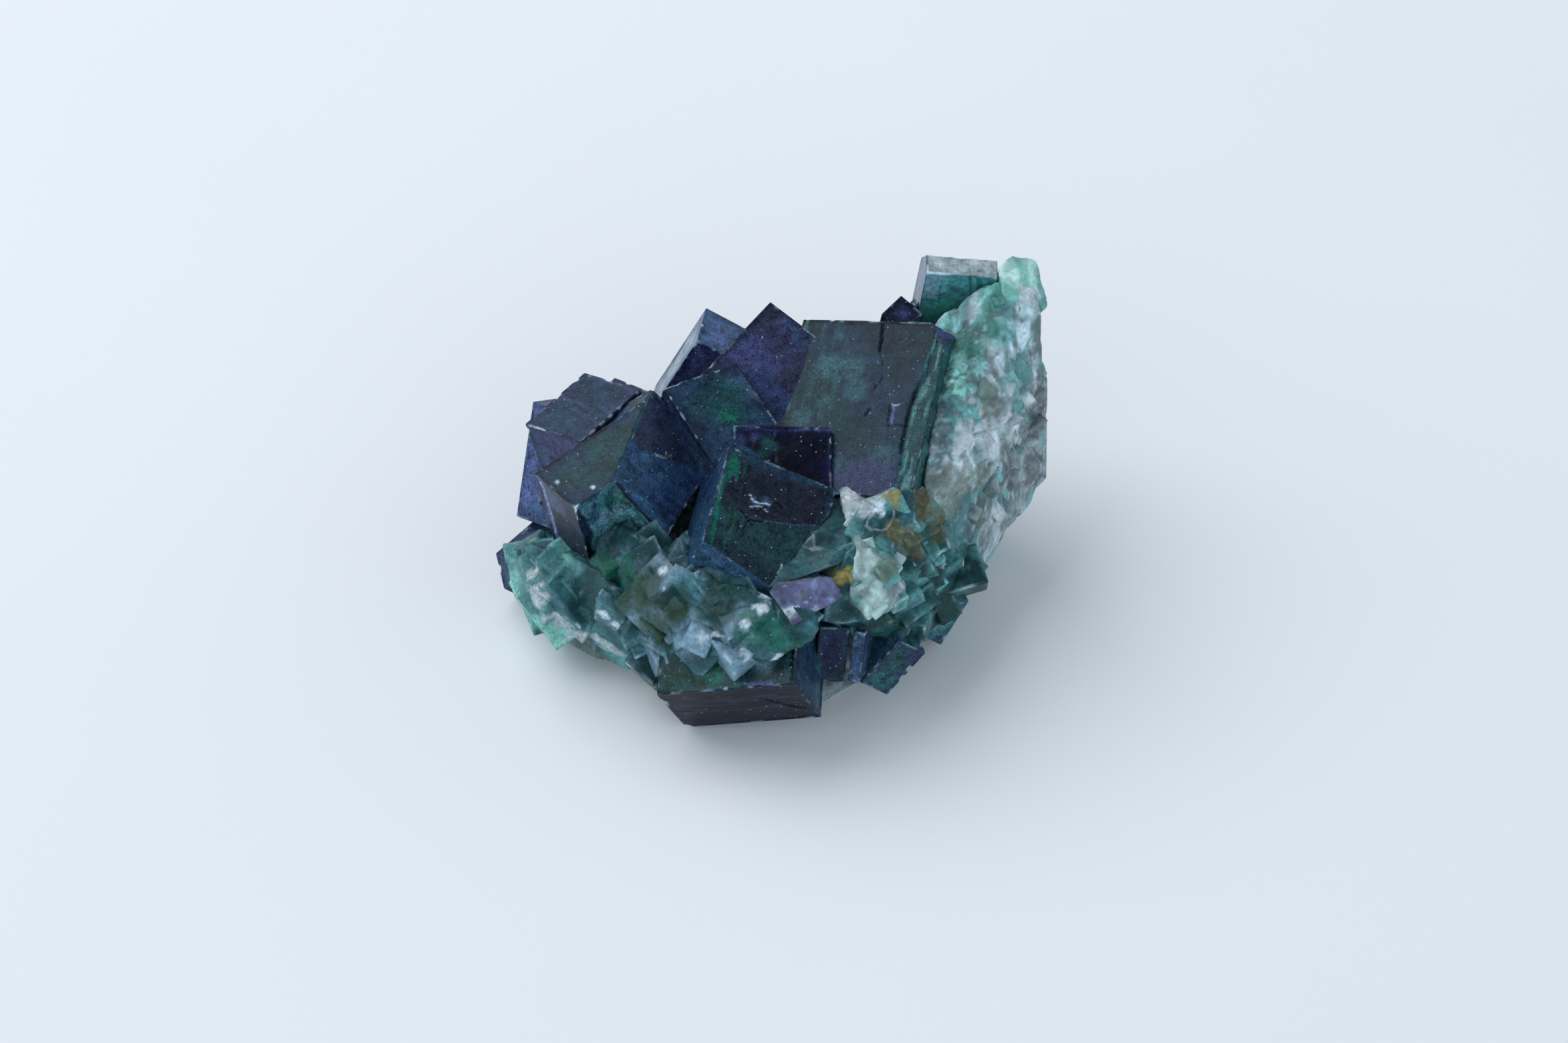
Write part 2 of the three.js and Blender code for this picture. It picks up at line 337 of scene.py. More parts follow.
def make_piece(name, node, points, squares, paint, material):
    """A mesh of the points (millimetres) with its paint on it, in the place of a CAD node."""
    low, high = (np.array(corner) / MM for corner in CAD_BOX)
    points = np.clip(points, low, high) * MM
    mesh = bpy.data.meshes.new(name)
    mesh.vertices.add(len(points))
    mesh.vertices.foreach_set("co", points.ravel())
    mesh.loops.add(squares.size)
    mesh.loops.foreach_set("vertex_index", squares.ravel().astype(np.int32))
    mesh.polygons.add(len(squares))
    mesh.polygons.foreach_set("loop_start", np.arange(0, squares.size, 4, dtype=np.int32))
    mesh.polygons.foreach_set("use_smooth", np.ones(len(squares), bool))
    mesh.update(calc_edges=True)
    colour = np.concatenate([paint.colour, np.ones((len(points), 1))], axis=1)
    mesh.color_attributes.new("paint", "FLOAT_COLOR", "POINT")
    mesh.attributes["paint"].data.foreach_set("color", colour.ravel())
    mesh.attributes.new("wear", "FLOAT", "POINT")
    mesh.attributes["wear"].data.foreach_set("value", paint.wear)
    mesh.materials.append(material)
    old = bpy.data.objects.get(name)
    if old is not None:
        bpy.data.objects.remove(old)
    piece = bpy.data.objects.new(name, mesh)
    bpy.context.scene.collection.objects.link(piece)
    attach(piece, BODY)
    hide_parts(node)
    return piece


# Cubes

FACES = {"-x": (0, -1), "+x": (0, 1), "-y": (1, -1), "+y": (1, 1), "-z": (2, -1), "+z": (2, 1)}

# Each cube: its turn in degrees, as its CAD node's, the colours of its faces (main, mottled with,
# rim) and its marks. A face that isn't named takes the colours under "all". A face's lightness
# multiplies its colour. It is painted light and shade: lighter where a face is lit or mirrors the
# bright room, and darker where it is in shade, such as an underside. A "broken" face is covered in
# flat-sided bowls, and a "striped" one has long growth grooves. "worn" multiplies the chips along
# the edges. A chip faces a way in the cube's own axes; its depth is read from the CAD node unless it
# is given.
# A mark is (face, kind, places, size, colour, amount, depth), with places in millimetres from the
# middle of the face along the cube's own axes. A "line" runs through its places and is as wide as
# its size, and "streaks" fill a band of that half width round it. A "glow" fades out from each place
# over its size. "under" covers what is on the lower side of the line through its places, and
# "right" what is on its right; both blur by their size.
CUBES = {
    "front_left_twin": {
        "lightness": {"+x": 1.9, "-y": 1.3},
        "turn": (-17, -41, -30),
        "all": ("slate", "charcoal", "ink"),
        "faces": {"+x": ("slate", "navy", "navy"), "-y": ("teal", "bottle", "bottle")},
        "broken": ("-y",),
        "chips": [((0.61, -0.1, 0.79), None, "bottle")],
        "marks": [
            ("+x", "right", [(-0.4, 4.0), (-0.4, 1.7), (0.9, -0.2), (3.9, -4.5)], 0.15, "umber", 0.75, 0),
            ("+x", "glow", [(5.0, -2.2)], 1.6, "bottle", 0.9, 0),
            ("+x", "streaks", [(-3.6, 2.6), (-2.2, -3.0)], 1.6, "navy", 0.6, 0.02),
            ("+x", "line", [(-0.4, 1.7), (0.9, -0.2), (3.9, -4.5)], 0.08, "steel", 0.5, 0.03),
            ("+x", "line", [(1.5, 0.0), (0.9, -0.2), (0.4, 0.6)], 0.08, "frost", 0.8, 0.03),
            ("+x", "line", [(1.7, -0.5), (0.9, -0.2)], 0.06, "frost", 0.5, 0.02),
            ("+x", "line", [(-0.3, -0.4), (-0.1, -0.8)], 0.35, "ink", 1.0, 0.4),
            ("+x", "line", [(-4.7, 2.6), (-5.0, 0.8), (-5.1, -3.6)], 0.5, "ink", 0.8, 0.12),
            ("+x", "line", [(-4.6, -3.9), (-1.6, -3.9)], 0.3, "ink", 0.7, 0.1),
            ("+x", "streaks", [(5.2, 3.9), (-4.6, 3.8)], 0.3, "frost", 0.9, 0),
            ("-y", "glow", [(3.0, 1.0), (0.5, -1.5)], 1.6, "emerald", 0.7, 0),
        ],
    },
    "front_left_cube": {
        "lightness": {"+z": 0.7, "-x": 0.7, "-y": 1.25},
        "turn": (6, -9, 39),
        "all": ("charcoal", "umber", "ink"),
        "faces": {
            "+z": ("bottle", "slate", "navy"),
            "-x": ("umber", "steel", "umber"),
            "-y": ("teal", "slate", "bottle"),
        },
        "broken": ("-y",),
        "chips": [((0.46, -0.65, 0.6), 3.5, "slate")],
        "marks": [
            ("+z", "glow", [(-2.6, 0.4), (-4.0, 0.0), (-1.0, 0.8)], 2.0, "bottle", 0.8, 0),
            ("+z", "streaks", [(-6.1, 2.7), (1.0, 2.6)], 0.3, "ink", 0.9, 0.03),
            ("+z", "line", [(-6.1, -2.75), (-2.0, -2.7)], 0.2, "ink", 0.8, 0.08),
            ("+z", "glow", [(-5.5, 0.6), (-3.8, -2.0)], 0.3, "frost", 0.8, 0),
            ("-x", "streaks", [(2.3, 4.6), (2.0, 1.5), (2.4, -3.0)], 0.6, "heather", 0.9, 0.05),
            ("-x", "line", [(2.2, 4.0), (1.9, 1.0), (2.3, -2.0)], 0.1, "frost", 0.7, 0.06),
            ("-y", "line", [(-6.0, 3.6), (-5.6, 1.0), (-6.1, -3.5)], 0.9, "soot", 0.9, 0.3),
            ("-y", "glow", [(-4.0, -1.4)], 0.8, "heather", 0.9, 0),
            ("-y", "line", [(-4.1, -1.0), (-3.9, -1.8)], 0.25, "frost", 0.9, 0),
            ("-y", "glow", [(-3.0, 2.6), (-1.6, 1.4)], 1.6, "bottle", 0.8, 0),
            ("-y", "glow", [(-2.0, -2.6)], 1.8, "crust", 0.5, 0),
        ],
    },
    "front_centre_cube": {
        "lightness": {"+z": 0.8},
        "turn": (23, 20, -14),
        "all": ("charcoal", "navy", "ink"),
        "faces": {"+z": ("umber", "charcoal", "slate"), "-x": ("slate", "navy", "navy")},
        "chips": [((-0.24, -0.91, 0.33), None, "slate"), ((0.9, -0.29, 0.33), None, "bottle")],
        "marks": [
            ("+z", "under", [(-1.7, 0.7), (-0.2, 0.8), (2.0, 1.4), (4.1, 2.2)], 0.12, "bottle", 0.6, 0),
            ("+z", "under", [(-4.7, -1.9), (-2.0, -2.2), (1.5, -3.4)], 0.8, "charcoal", 0.7, 0),
            ("+z", "streaks", [(-3.9, 4.8), (-3.8, 0.6), (-3.3, -2.2)], 1.3, "emerald", 0.95, 0.04),
            ("+z", "streaks", [(-3.0, 2.6), (-2.7, -1.6)], 0.8, "pine", 0.9, 0.1),
            ("+z", "streaks", [(-2.3, 3.6), (-2.2, -0.8)], 0.6, "ink", 0.9, 0.2),
            ("+z", "line", [(-2.4, 0.9), (-1.5, 0.4), (-0.4, 0.6)], 0.2, "ink", 1.0, 0.3),
            ("+z", "line", [(0.2, 2.9), (0.9, 2.6)], 0.25, "ink", 1.0, 0.35),
            ("+z", "line", [(-1.7, -0.7), (-1.6, 0.5)], 0.14, "ink", 0.8, 0.1),
            ("+z", "glow", [(-1.5, 2.1), (-0.6, 2.3)], 0.7, "steel", 0.8, 0.1),
            ("+z", "line", [(-2.0, 2.4), (-1.1, 2.0), (-0.1, 2.4)], 0.1, "frost", 0.9, 0),
            ("+z", "line", [(-1.7, 1.5), (-0.9, 1.8), (-0.2, 1.6)], 0.08, "frost", 0.7, 0),
            ("+z", "line", [(-1.9, 1.2), (-0.9, 1.4), (0.1, 2.6)], 0.12, "ink", 0.9, 0.2),
            ("+z", "line", [(-0.2, 0.8), (2.0, 1.4), (4.1, 2.2)], 0.08, "steel", 0.8, 0.04),
            ("+z", "line", [(1.9, -2.4), (2.1, -2.9), (1.9, -3.3)], 0.08, "frost", 0.8, 0),
            ("+z", "streaks", [(-4.6, 5.2), (-4.6, -2.4)], 0.3, "crust", 0.7, 0),
        ],
    },
    "middle_dark_cube": {
        "lightness": {"+z": 0.5},
        "turn": (23, 3, 0),
        "all": ("soot", "indigo", "ink"),
        "faces": {"+z": ("soot", "ink", "indigo")},
        "marks": [
            ("+z", "streaks", [(-2.6, 3.0), (-2.4, -0.5)], 1.8, "navy", 0.9, 0),
            ("+z", "glow", [(-3.3, 1.9), (-2.3, 2.1)], 0.9, "violet", 0.8, 0),
            ("+z", "glow", [(-1.7, 0.6), (-1.2, 1.6)], 1.1, "bottle", 0.9, 0),
            ("+z", "line", [(-0.7, 3.1), (-0.6, -0.2)], 0.08, "steel", 0.5, 0.04),
            ("+z", "streaks", [(-4.0, 3.0), (4.0, 3.1)], 0.25, "violet", 0.9, 0.03),
        ],
    },
    "large_top_cube": {
        "lightness": {"+z": 0.5, "+x": 0.75, "-y": 0.6},
        "turn": (19, -18, -13),
        "all": ("slate", "charcoal", "ink"),
        "faces": {"+z": ("slate", "bottle", "charcoal"), "+x": ("teal", "emerald", "bottle"),
                  "-y": ("steel", "slate", "charcoal")},
        "striped": ("+x",),
        "chips": [((0.7, 0.5, 0.5), 9.5, "violet")],
        "marks": [
            ("+z", "under", [(-6.5, -4.6), (0.0, -5.2), (6.5, -4.8)], 1.6, "violet", 0.55, 0),
            ("+z", "glow", [(-3.3, 3.8), (-1.3, 3.5), (-0.5, 1.7), (-4.6, -1.1)], 1.6, "teal", 0.6, 0),
            ("+z", "glow", [(-0.5, -5.7), (3.1, -4.1), (-3.0, 0.5)], 1.5, "teal", 0.4, 0),
            ("+z", "glow", [(0.8, 6.6), (3.6, 6.4), (3.2, 4.0), (5.6, 7.2)], 2.2, "charcoal", 0.65, 0),
            ("+z", "streaks", [(2.6, 5.5), (2.8, -5.5)], 1.8, "charcoal", 0.35, 0.02),
            ("+z", "streaks", [(-3.4, 6.5), (-3.4, -6.5)], 2.8, "teal", 0.25, 0.01),
            ("+z", "right", [(5.5, 8.3), (5.4, 3.7), (4.6, 0.3), (4.8, -4.1), (5.0, -8.3)], 0.25,
             "bottle", 0.8, 0.1),
            ("+z", "streaks", [(5.8, 7.0), (5.5, 1.0), (5.6, -7.6)], 0.9, "sea", 0.55, 0.06),
            ("+z", "streaks", [(5.5, 7.8), (5.4, 3.7), (4.6, 0.3), (4.8, -4.1)], 0.3, "ink", 0.8, 0.1),
            ("+z", "line", [(0.6, 8.2), (0.8, 6.6), (0.9, 5.4)], 0.15, "ink", 0.95, 0.3),
            ("+z", "line", [(0.9, 5.4), (1.4, 4.2), (1.7, 2.8), (1.2, 1.3)], 0.08, "ink", 0.8, 0.1),
            ("+z", "line", [(1.2, -0.2), (1.0, -0.9)], 0.12, "ink", 0.9, 0.2),
            ("+z", "line", [(3.0, 0.2), (3.1, -1.6), (4.7, -1.7)], 0.1, "ink", 0.9, 0.15),
            ("+z", "line", [(3.3, 0.1), (3.4, -1.4)], 0.2, "heather", 0.8, 0),
            ("+z", "line", [(3.1, 0.3), (3.8, 0.3)], 0.08, "frost", 0.6, 0),
            ("+z", "streaks", [(-6.3, 7.9), (-6.2, 5.0), (-6.3, -6.0)], 0.5, "sea", 0.6, 0),
            ("+z", "streaks", [(-6.4, 8.0), (5.5, 8.0)], 0.3, "ink", 0.9, 0.06),
            ("+z", "streaks", [(-1.0, -8.1), (5.0, -8.1)], 0.3, "soot", 0.9, 0.08),
        ],
    },
    "middle_green_cube": {
        "lightness": {"+z": 0.75, "-x": 1.7},
        "turn": (12, 10, 30),
        "all": ("bottle", "slate", "charcoal"),
        "faces": {"+z": ("slate", "charcoal", "navy"), "-x": ("charcoal", "navy", "ink")},
        "marks": [
            ("+z", "glow", [(-0.3, 1.8), (0.6, 0.6), (1.4, 2.6)], 2.6, "bottle", 0.9, 0),
            ("+z", "glow", [(0.3, 0.4)], 1.3, "emerald", 0.8, 0),
            ("+z", "glow", [(3.0, 1.6), (2.7, 3.4)], 1.4, "steel", 0.5, 0),
            ("+z", "streaks", [(0.0, 4.9), (3.4, 4.8)], 0.3, "ink", 0.8, 0.05),
        ],
    },
    "back_peak_cube": {
        "turn": (26, 1, -40),
        "all": ("charcoal", "navy", "ink"),
        "faces": {"+z": ("violet", "umber", "charcoal")},
        "marks": [
            ("+z", "glow", [(1.0, -2.6), (-1.0, -2.0)], 2.6, "navy", 0.8, 0),
            ("+z", "streaks", [(-3.0, 3.6), (3.5, 2.6)], 1.2, "slate", 0.5, 0.02),
        ],
    },
    # The pale colours and the lightness of its top and left faces are painted reflection of the bright
    # room, seen at a grazing angle.
    "back_left_cube": {
        "lightness": {"+z": 1.4, "-x": 1.15, "-y": 1.2},
        "turn": (1, 28, -9),
        "all": ("violet", "navy", "ink"),
        "faces": {"+z": ("steel", "heather", "slate"), "-x": ("steel", "ash", "slate"),
                  "-y": ("violet", "indigo", "indigo")},
    },
    "upper_left_cube": {
        "lightness": {"+z": 0.75},
        "turn": (-3, -14, -40),
        "all": ("violet", "steel", "navy"),
        "faces": {"+z": ("slate", "navy", "violet")},
        "marks": [("+z", "streaks", [(-4.0, 1.0), (4.0, -1.0)], 2.0, "violet", 0.6, 0.03)],
    },
    "small_upper_left_cube": {"turn": (6, -11, -37), "all": ("slate", "umber", "navy"), "worn": 1.5},
    "far_left_cube": {
        "turn": (-25, 9, -37), "worn": 1.6,
        "all": ("violet", "heather", "navy"),
        "faces": {"+z": ("slate", "violet", "navy"), "-y": ("steel", "heather", "violet")},
    },
    "left_point_cube": {"turn": (1, -7, -39), "all": ("slate", "teal", "violet"), "worn": 1.6},
    # Its -y face is the underside that hangs over the floor: its low lightness darkens it as painted
    # shade.
    "lower_front_cube": {
        "lightness": {"+z": 0.45, "+x": 0.75, "-y": 0.3},
        "turn": (24, -18, -3), "worn": 1.3,
        "all": ("charcoal", "umber", "ink"),
        "faces": {"+z": ("bottle", "emerald", "teal"), "+x": ("slate", "teal", "navy"),
                  "-y": ("charcoal", "umber", "navy")},
        "chips": [((-0.55, -0.55, -0.6), None, "charcoal")],
        "marks": [
            ("+z", "glow", [(0.9, -0.6), (3.0, -0.9)], 1.3, "crust", 0.6, 0),
            ("+z", "glow", [(-1.6, -1.0), (-0.8, -1.8)], 1.2, "emerald", 0.9, 0),
            ("+z", "streaks", [(-3.0, -0.4), (-2.2, -2.6)], 1.2, "pine", 0.7, 0.04),
            ("+z", "line", [(5.4, 0.2), (5.5, -2.6)], 0.2, "ink", 0.9, 0.3),
            ("+z", "streaks", [(-5.7, -2.85), (-2.0, -2.85), (1.0, -2.9)], 0.4, "ink", 0.9, 0.1),
            ("+z", "streaks", [(1.5, -2.6), (3.8, -2.8)], 0.3, "heather", 0.8, 0),
            ("-y", "line", [(2.2, 1.0), (3.6, -0.6), (5.0, -1.6)], 0.16, "ink", 0.9, 0.2),
            ("-y", "streaks", [(-4.0, 0.5), (4.0, 0.2)], 2.0, "violet", 0.3, 0.02),
        ],
    },
    "lower_right_column": {
        "turn": (-13, 5, 10), "all": ("navy", "indigo", "slate"), "worn": 1.6, "lightness": {"-y": 0.6},
    },
    "lower_right_sliver": {
        "turn": (-15, 6, -16), "all": ("steel", "heather", "slate"), "worn": 1.6, "lightness": {"+x": 0.6},
    },
    "lower_right_cube": {
        "turn": (-12, 38, 20), "all": ("bottle", "teal", "slate"), "worn": 2.0, "lightness": {"-y": 0.65},
        "faces": {"-y": ("teal", "bottle", "violet"), "-x": ("teal", "slate", "slate")},
    },
    "right_edge_cube": {"turn": (-20, 30, 11), "all": ("teal", "sea", "slate"), "worn": 2.2},
    "top_right_block": {
        "lightness": {"-y": 1.75},
        "turn": (10, 7, 0),
        "all": ("teal", "bottle", "slate"),
        "faces": {"+z": ("bone", "ash", "ash"), "-y": ("jade", "teal", "teal"),
                  "-x": ("steel", "navy", "navy")},
        "chips": [((0, 0.77, 0.64), None, "teal")],
        "marks": [
            ("-y", "streaks", [(0.5, 3.4), (2.0, -3.4)], 2.0, "emerald", 0.8, 0.05),
            ("-y", "glow", [(-2.4, 2.8), (-2.3, 1.6)], 1.5, "crust", 0.9, 0),
            ("-y", "line", [(-2.7, 1.0), (-1.8, 1.1), (-0.9, 1.4)], 0.1, "navy", 0.9, 0),
            ("-y", "line", [(-2.8, 0.4), (-1.4, 0.4)], 0.1, "navy", 0.9, 0),
            ("-y", "line", [(-1.6, 3.0), (-1.5, 0.6)], 0.1, "navy", 0.8, 0),
            ("-y", "glow", [(-0.9, 0.9), (-0.3, 2.0)], 0.9, "navy", 0.5, 0),
        ],
    },
    "top_small_point": {"turn": (24, 6, -42), "all": ("navy", "violet", "ink")},
    "top_tiny_point": {"turn": (20, 0, 45), "all": ("navy", "umber", "ink")},
    "rear_centre_cube": {"turn": (-28, 12, 35), "all": ("charcoal", "navy", "ink")},
    "rear_right_cube": {"turn": (-35, -18, 12), "all": ("slate", "bottle", "navy")},
    "rear_left_cube": {"turn": (-20, -24, 24), "all": ("navy", "umber", "charcoal")},
    "rear_far_left_cube": {"turn": (-12, 20, 50), "all": ("charcoal", "navy", "ink")},
    "rear_flank_cube": {"turn": (-30, 8, -20), "all": ("bottle", "teal", "navy")},
    "rear_foot_cube": {"turn": (-48, 10, 20), "all": ("navy", "slate", "ink")},
    "rear_small_cube": {"turn": (-25, 30, 5), "all": ("bottle", "slate", "navy")},
}

FRONT_CUBES = ("front_left_twin", "front_left_cube", "front_centre_cube", "middle_dark_cube")
TOP_CUBES = ("large_top_cube", "middle_green_cube", "back_peak_cube", "back_left_cube")
LEFT_CUBES = ("upper_left_cube", "small_upper_left_cube", "far_left_cube", "left_point_cube")
LOWER_CUBES = (
    "lower_front_cube", "lower_right_column", "lower_right_sliver", "lower_right_cube", "right_edge_cube",
)
SUMMIT_CUBES = ("top_right_block", "top_small_point", "top_tiny_point")
REAR_CUBES = tuple(name for name in CUBES if name.startswith("rear_"))
CLEAR_CUBES = ("top_right_block",)  # clear green fluorite all through

# Lengths on a cube's face, in millimetres
STRIP = 0.45  # the width of the strips that put a line out of step
OUT_OF_STEP = 0.16  # how far apart two strips' parts of a line can be
LINE_BLUR = 0.05  # a line fades out over this much on each side of its edge
STREAK = (2.4, 0.28)  # a streak's length and width
CHIP_SPACING = (0.55, 1.9)  # of the chips along an edge, and of the stretches that have many
STEP_SPACING = (3.2, 0.9)  # of the growth steps, and of the small bends in their edges
STEP_LEVELS = 4  # growth steps from the highest part of a face down to its mean level
BOWLS = ((2.2, 0.7), (0.8, 0.14))  # width and depth of the large and small bowls on a broken face
GROOVE = (0.45, 4.0, 0.09)  # width, length and half depth of a groove on a striped face
FLAT_BOWLS = (0.16, 0.05)  # depth of the large and small bowls on a chip's flat


def own_axes(turn):
    """The cube's own axes, as the columns of a matrix: a turn about its own X, then Y, then Z."""
    return np.array(Euler([math.radians(angle) for angle in turn], "ZYX").to_matrix())


def unit(direction):
    return np.array(direction) / np.linalg.norm(direction)


def mark_shares(cube, place, axis, side, u, v, seed):
    """How much each mark of a cube covers each point. A place is put off by a random amount for each
    strip of the face, so that lines run in steps along the cube's own axes, as cracks in fluorite
    do. A line is the distance to it against half its width, streaks are noise drawn out along the
    line, a glow fades from its places, and "under" and "right" compare a point with the line."""
    strips = np.floor(np.stack([u, v, 0 * u], axis=1) / STRIP).astype(np.int64)
    stepped_u = u + OUT_OF_STEP * (hashed(strips * [0, 1, 0], seed + 20) - 0.5)
    stepped_v = v + OUT_OF_STEP * (hashed(strips * [1, 0, 0], seed + 21) - 0.5)
    shares = []
    for face, kind, places, size, colour, amount, depth in cube.get("marks", ()):
        on = (axis == FACES[face][0]) & (side == FACES[face][1])
        across, along = np.array(places, float).T
        if kind == "line":
            away = from_line(stepped_u, stepped_v, places)
            share = soft(away, size * 0.5 + LINE_BLUR, size * 0.5 - LINE_BLUR)
        elif kind == "streaks":
            run = unit((across[-1] - across[0], along[-1] - along[0]))
            lengthwise, sideways = u * run[0] + v * run[1], u * run[1] - v * run[0]
            drawn = np.stack([lengthwise / STREAK[0], sideways / STREAK[1], 0 * u], axis=1)
            away = from_line(u, v, places) + 0.3 * size * noise(place, 1.1, seed + 22)
            fades = soft(away, size, size * 0.3)
            share = fades * soft(noise(drawn, 1.0, seed + 23), -0.1, 0.35)
        elif kind == "glow":
            nearest = np.min([np.hypot(u - a, v - b) for a, b in places], axis=0)
            share = soft(nearest + 0.35 * size * noise(place, size, seed + 22), size, size * 0.1)
        elif kind == "under":
            share = soft(np.interp(stepped_u, across, along) - stepped_v, -size, size)
        else:
            order = np.argsort(along)
            share = soft(stepped_u - np.interp(stepped_v, along[order], across[order]), -size, size)
        shares.append((on * share, colour, amount, depth))
    return shares


def cut_cube(name, cube, sizes, cell):
    """A cube's surface. The box is the CAD node's extent along the cube's own axes. Its edges are
    rounded by a radius that noise varies, growth steps and broken bowls go in along each face's
    own direction, and what lies beyond a chip's flat is drawn straight towards the middle until
    it is on the flat."""
    seed = 10 * list(CUBES).index(name)
    axes = own_axes(cube["turn"])
    own = node_points(name) @ axes
    low, high = own.min(axis=0), own.max(axis=0)
    middle, half = (low + high) / 2, (high - low) / 2
    share, squares = shell(high - low, cell / MM)
    place = (2 * share - 1) * half
    rows = np.arange(len(place))
    axis = np.argmax(np.abs(place) / half, axis=1)
    side = np.sign(place[rows, axis])
    across = np.array([(1, 2), (0, 2), (0, 1)])[axis]
    u, v = place[rows, across[:, 0]], place[rows, across[:, 1]]
    rim = np.minimum(half[across[:, 0]] - np.abs(u), half[across[:, 1]] - np.abs(v))

    chipped = noise(place, CHIP_SPACING[0], seed + 1) + 0.6 * noise(place, CHIP_SPACING[1], seed + 2)
    chipped = soft(chipped, 0.35, 0.95)
    radius = sizes.edge / MM + sizes.chip / MM * chipped * cube.get("worn", 1)
    radius = np.minimum(radius, half.min() * 0.4)[:, None]
    inner = np.clip(place, radius - half, half - radius)
    outward = place - inner
    length = np.linalg.norm(outward, axis=1, keepdims=True)
    shape = inner + outward * radius / np.maximum(length, 1e-9)

    steps = 3 * noise(place, STEP_SPACING[0], seed + 3) + noise(place, STEP_SPACING[1], seed + 4)
    depth = sizes.terrace / MM * (np.floor(steps) + STEP_LEVELS) * 0.5
    broken = np.zeros(len(place))
    for face in cube.get("broken", ()):
        broken = np.where((axis == FACES[face][0]) & (side == FACES[face][1]), 1.0, broken)
    (wide, deep), (narrow, shallow) = BOWLS
    bowls, facet, ridge = cells(place, wide, seed + 5, flat=True)
    fine = cells(place, narrow, seed + 6, flat=True)[0]
    depth = depth + broken * (deep * (1 - bowls) + shallow * (1 - fine)).clip(0)
    for face in cube.get("striped", ()):
        on = (axis == FACES[face][0]) & (side == FACES[face][1])
        grooves = noise(np.stack([u / GROOVE[0], v / GROOVE[1], u * 0], axis=1), 1.0, seed + 7)
        depth = depth + np.where(on, GROOVE[2] * (grooves + 1), 0)
    marks = mark_shares(cube, place, axis, side, u, v, seed)
    for on, _, _, into in marks:
        depth = depth + into * on
    shape[rows, axis] -= side * depth * soft(rim, 0, 0.3)

    flats = []
    for faces, given, colour in cube.get("chips", ()):
        toward = unit(faces)
        reach = given if given is not None else ((own - middle) @ toward).max()
        level = reach - FLAT_BOWLS[0] * (1 - bowls) - FLAT_BOWLS[1] * (1 - fine)
        beyond = shape @ toward
        ratio = np.where(beyond > level, level / np.maximum(beyond, 1e-6), 1.0)
        shape = shape * ratio[:, None]
        flats.append((beyond - level, colour))
    return {
        "points": (shape + middle) @ axes.T, "squares": squares, "place": place, "axis": axis,
        "side": side, "rim": rim, "chipped": chipped, "broken": broken, "facet": facet,
        "ridge": ridge, "flats": flats, "seed": seed, "marks": marks,
    }


def paint_cube(cube, cut, colours):
    """A cube's paint: each face's colour mottled with its second one, a rim along its edges, painted light
    and shade that make each face lighter or darker, dark lines of painted shadow and white bruises
    where the edges are chipped, and crushed crystal on broken faces, whose facets are each lighter or
    darker at random, partly their own tone and partly painted reflection."""
    place, seed = cut["place"], cut["seed"]
    paint = Paint(len(place), colours)
    for face, (face_axis, face_side) in FACES.items():
        on = (cut["axis"] == face_axis) & (cut["side"] == face_side)
        main, second, rim = cube.get("faces", {}).get(face, cube["all"])
        mottle = soft(layered(place, 2.6, seed + 11), -0.15, 0.35)
        width = 0.9 + 0.8 * noise(place, 1.7, seed + 12)
        paint.coat(main, on)
        paint.coat(second, on * mottle * 0.8)
        paint.coat(rim, on * soft(cut["rim"], width, width * 0.2) * 0.75)
        # Painted light and shade: each face is made lighter or darker by its lightness, as light falls on
        # it or it mirrors the room.
        paint.lighten(on * (cube.get("lightness", {}).get(face, 1) - 1))
    paint.lighten(0.25 * layered(place, 0.7, seed + 13))
    crushed = cut["broken"] * soft(layered(place, 1.2, seed + 14), -0.1, 0.5)
    paint.coat("crust", crushed * 0.4, wear=0.8)
    edges = soft(cut["ridge"], 0.08, 0.02) * soft(noise(place, 1.6, seed + 18), 0.0, 0.5)
    paint.coat("frost", cut["broken"] * edges * 0.35, wear=0.9)
    # Each facet of a broken face is lighter or darker at random: partly the crystal's own tone, partly
    # painted reflection, as facets that face different ways catch the light differently.
    paint.lighten(cut["broken"] * 0.7 * (cut["facet"] - 0.5))
    for on, colour, amount, _ in cut["marks"]:
        paint.coat(colour, on * amount)
    line = soft(cut["rim"], 0.26, 0.1)
    paint.coat("ink", line * soft(noise(place, 1.3, seed + 15), 0.1, 0.4) * 0.6)
    paint.coat("crust", line * soft(noise(place, 0.5, seed + 17), 0.2, 0.6) * 0.6, wear=0.8)
    paint.coat("frost", line * cut["chipped"] * 0.75, wear=1.0)
    for above, colour in cut["flats"]:
        on = soft(above, 0.0, 0.04)
        paint.coat(colour, on, wear=0.5)
        # Each facet of the chip's flat is lighter or darker too: partly its own tone, partly painted
        # reflection.
        paint.lighten(on * (0.5 * (cut["facet"] - 0.5) + 0.3 * layered(place, 0.8, seed + 16)))
        paint.coat("frost", soft(np.abs(above - 0.06), 0.08, 0.0) * cut["chipped"], wear=1.0)
    return paint


def grow(names, context):
    """Makes the named cubes and puts them in the place of their CAD nodes."""
    scene = context.scene
    for name in names:
        cube = CUBES[name]
        sizes = scene.fluorite_sizes
        cut = cut_cube(name, cube, sizes, sizes.rear_cell if name in REAR_CUBES else sizes.cell)
        paint = paint_cube(cube, cut, scene.fluorite_colours)
        clear = name in CLEAR_CUBES
        material = green_fluorite() if clear else zoned_fluorite()
        make_piece(name + "_crystal", name, cut["points"], cut["squares"], paint, material)


# Broken masses and rock

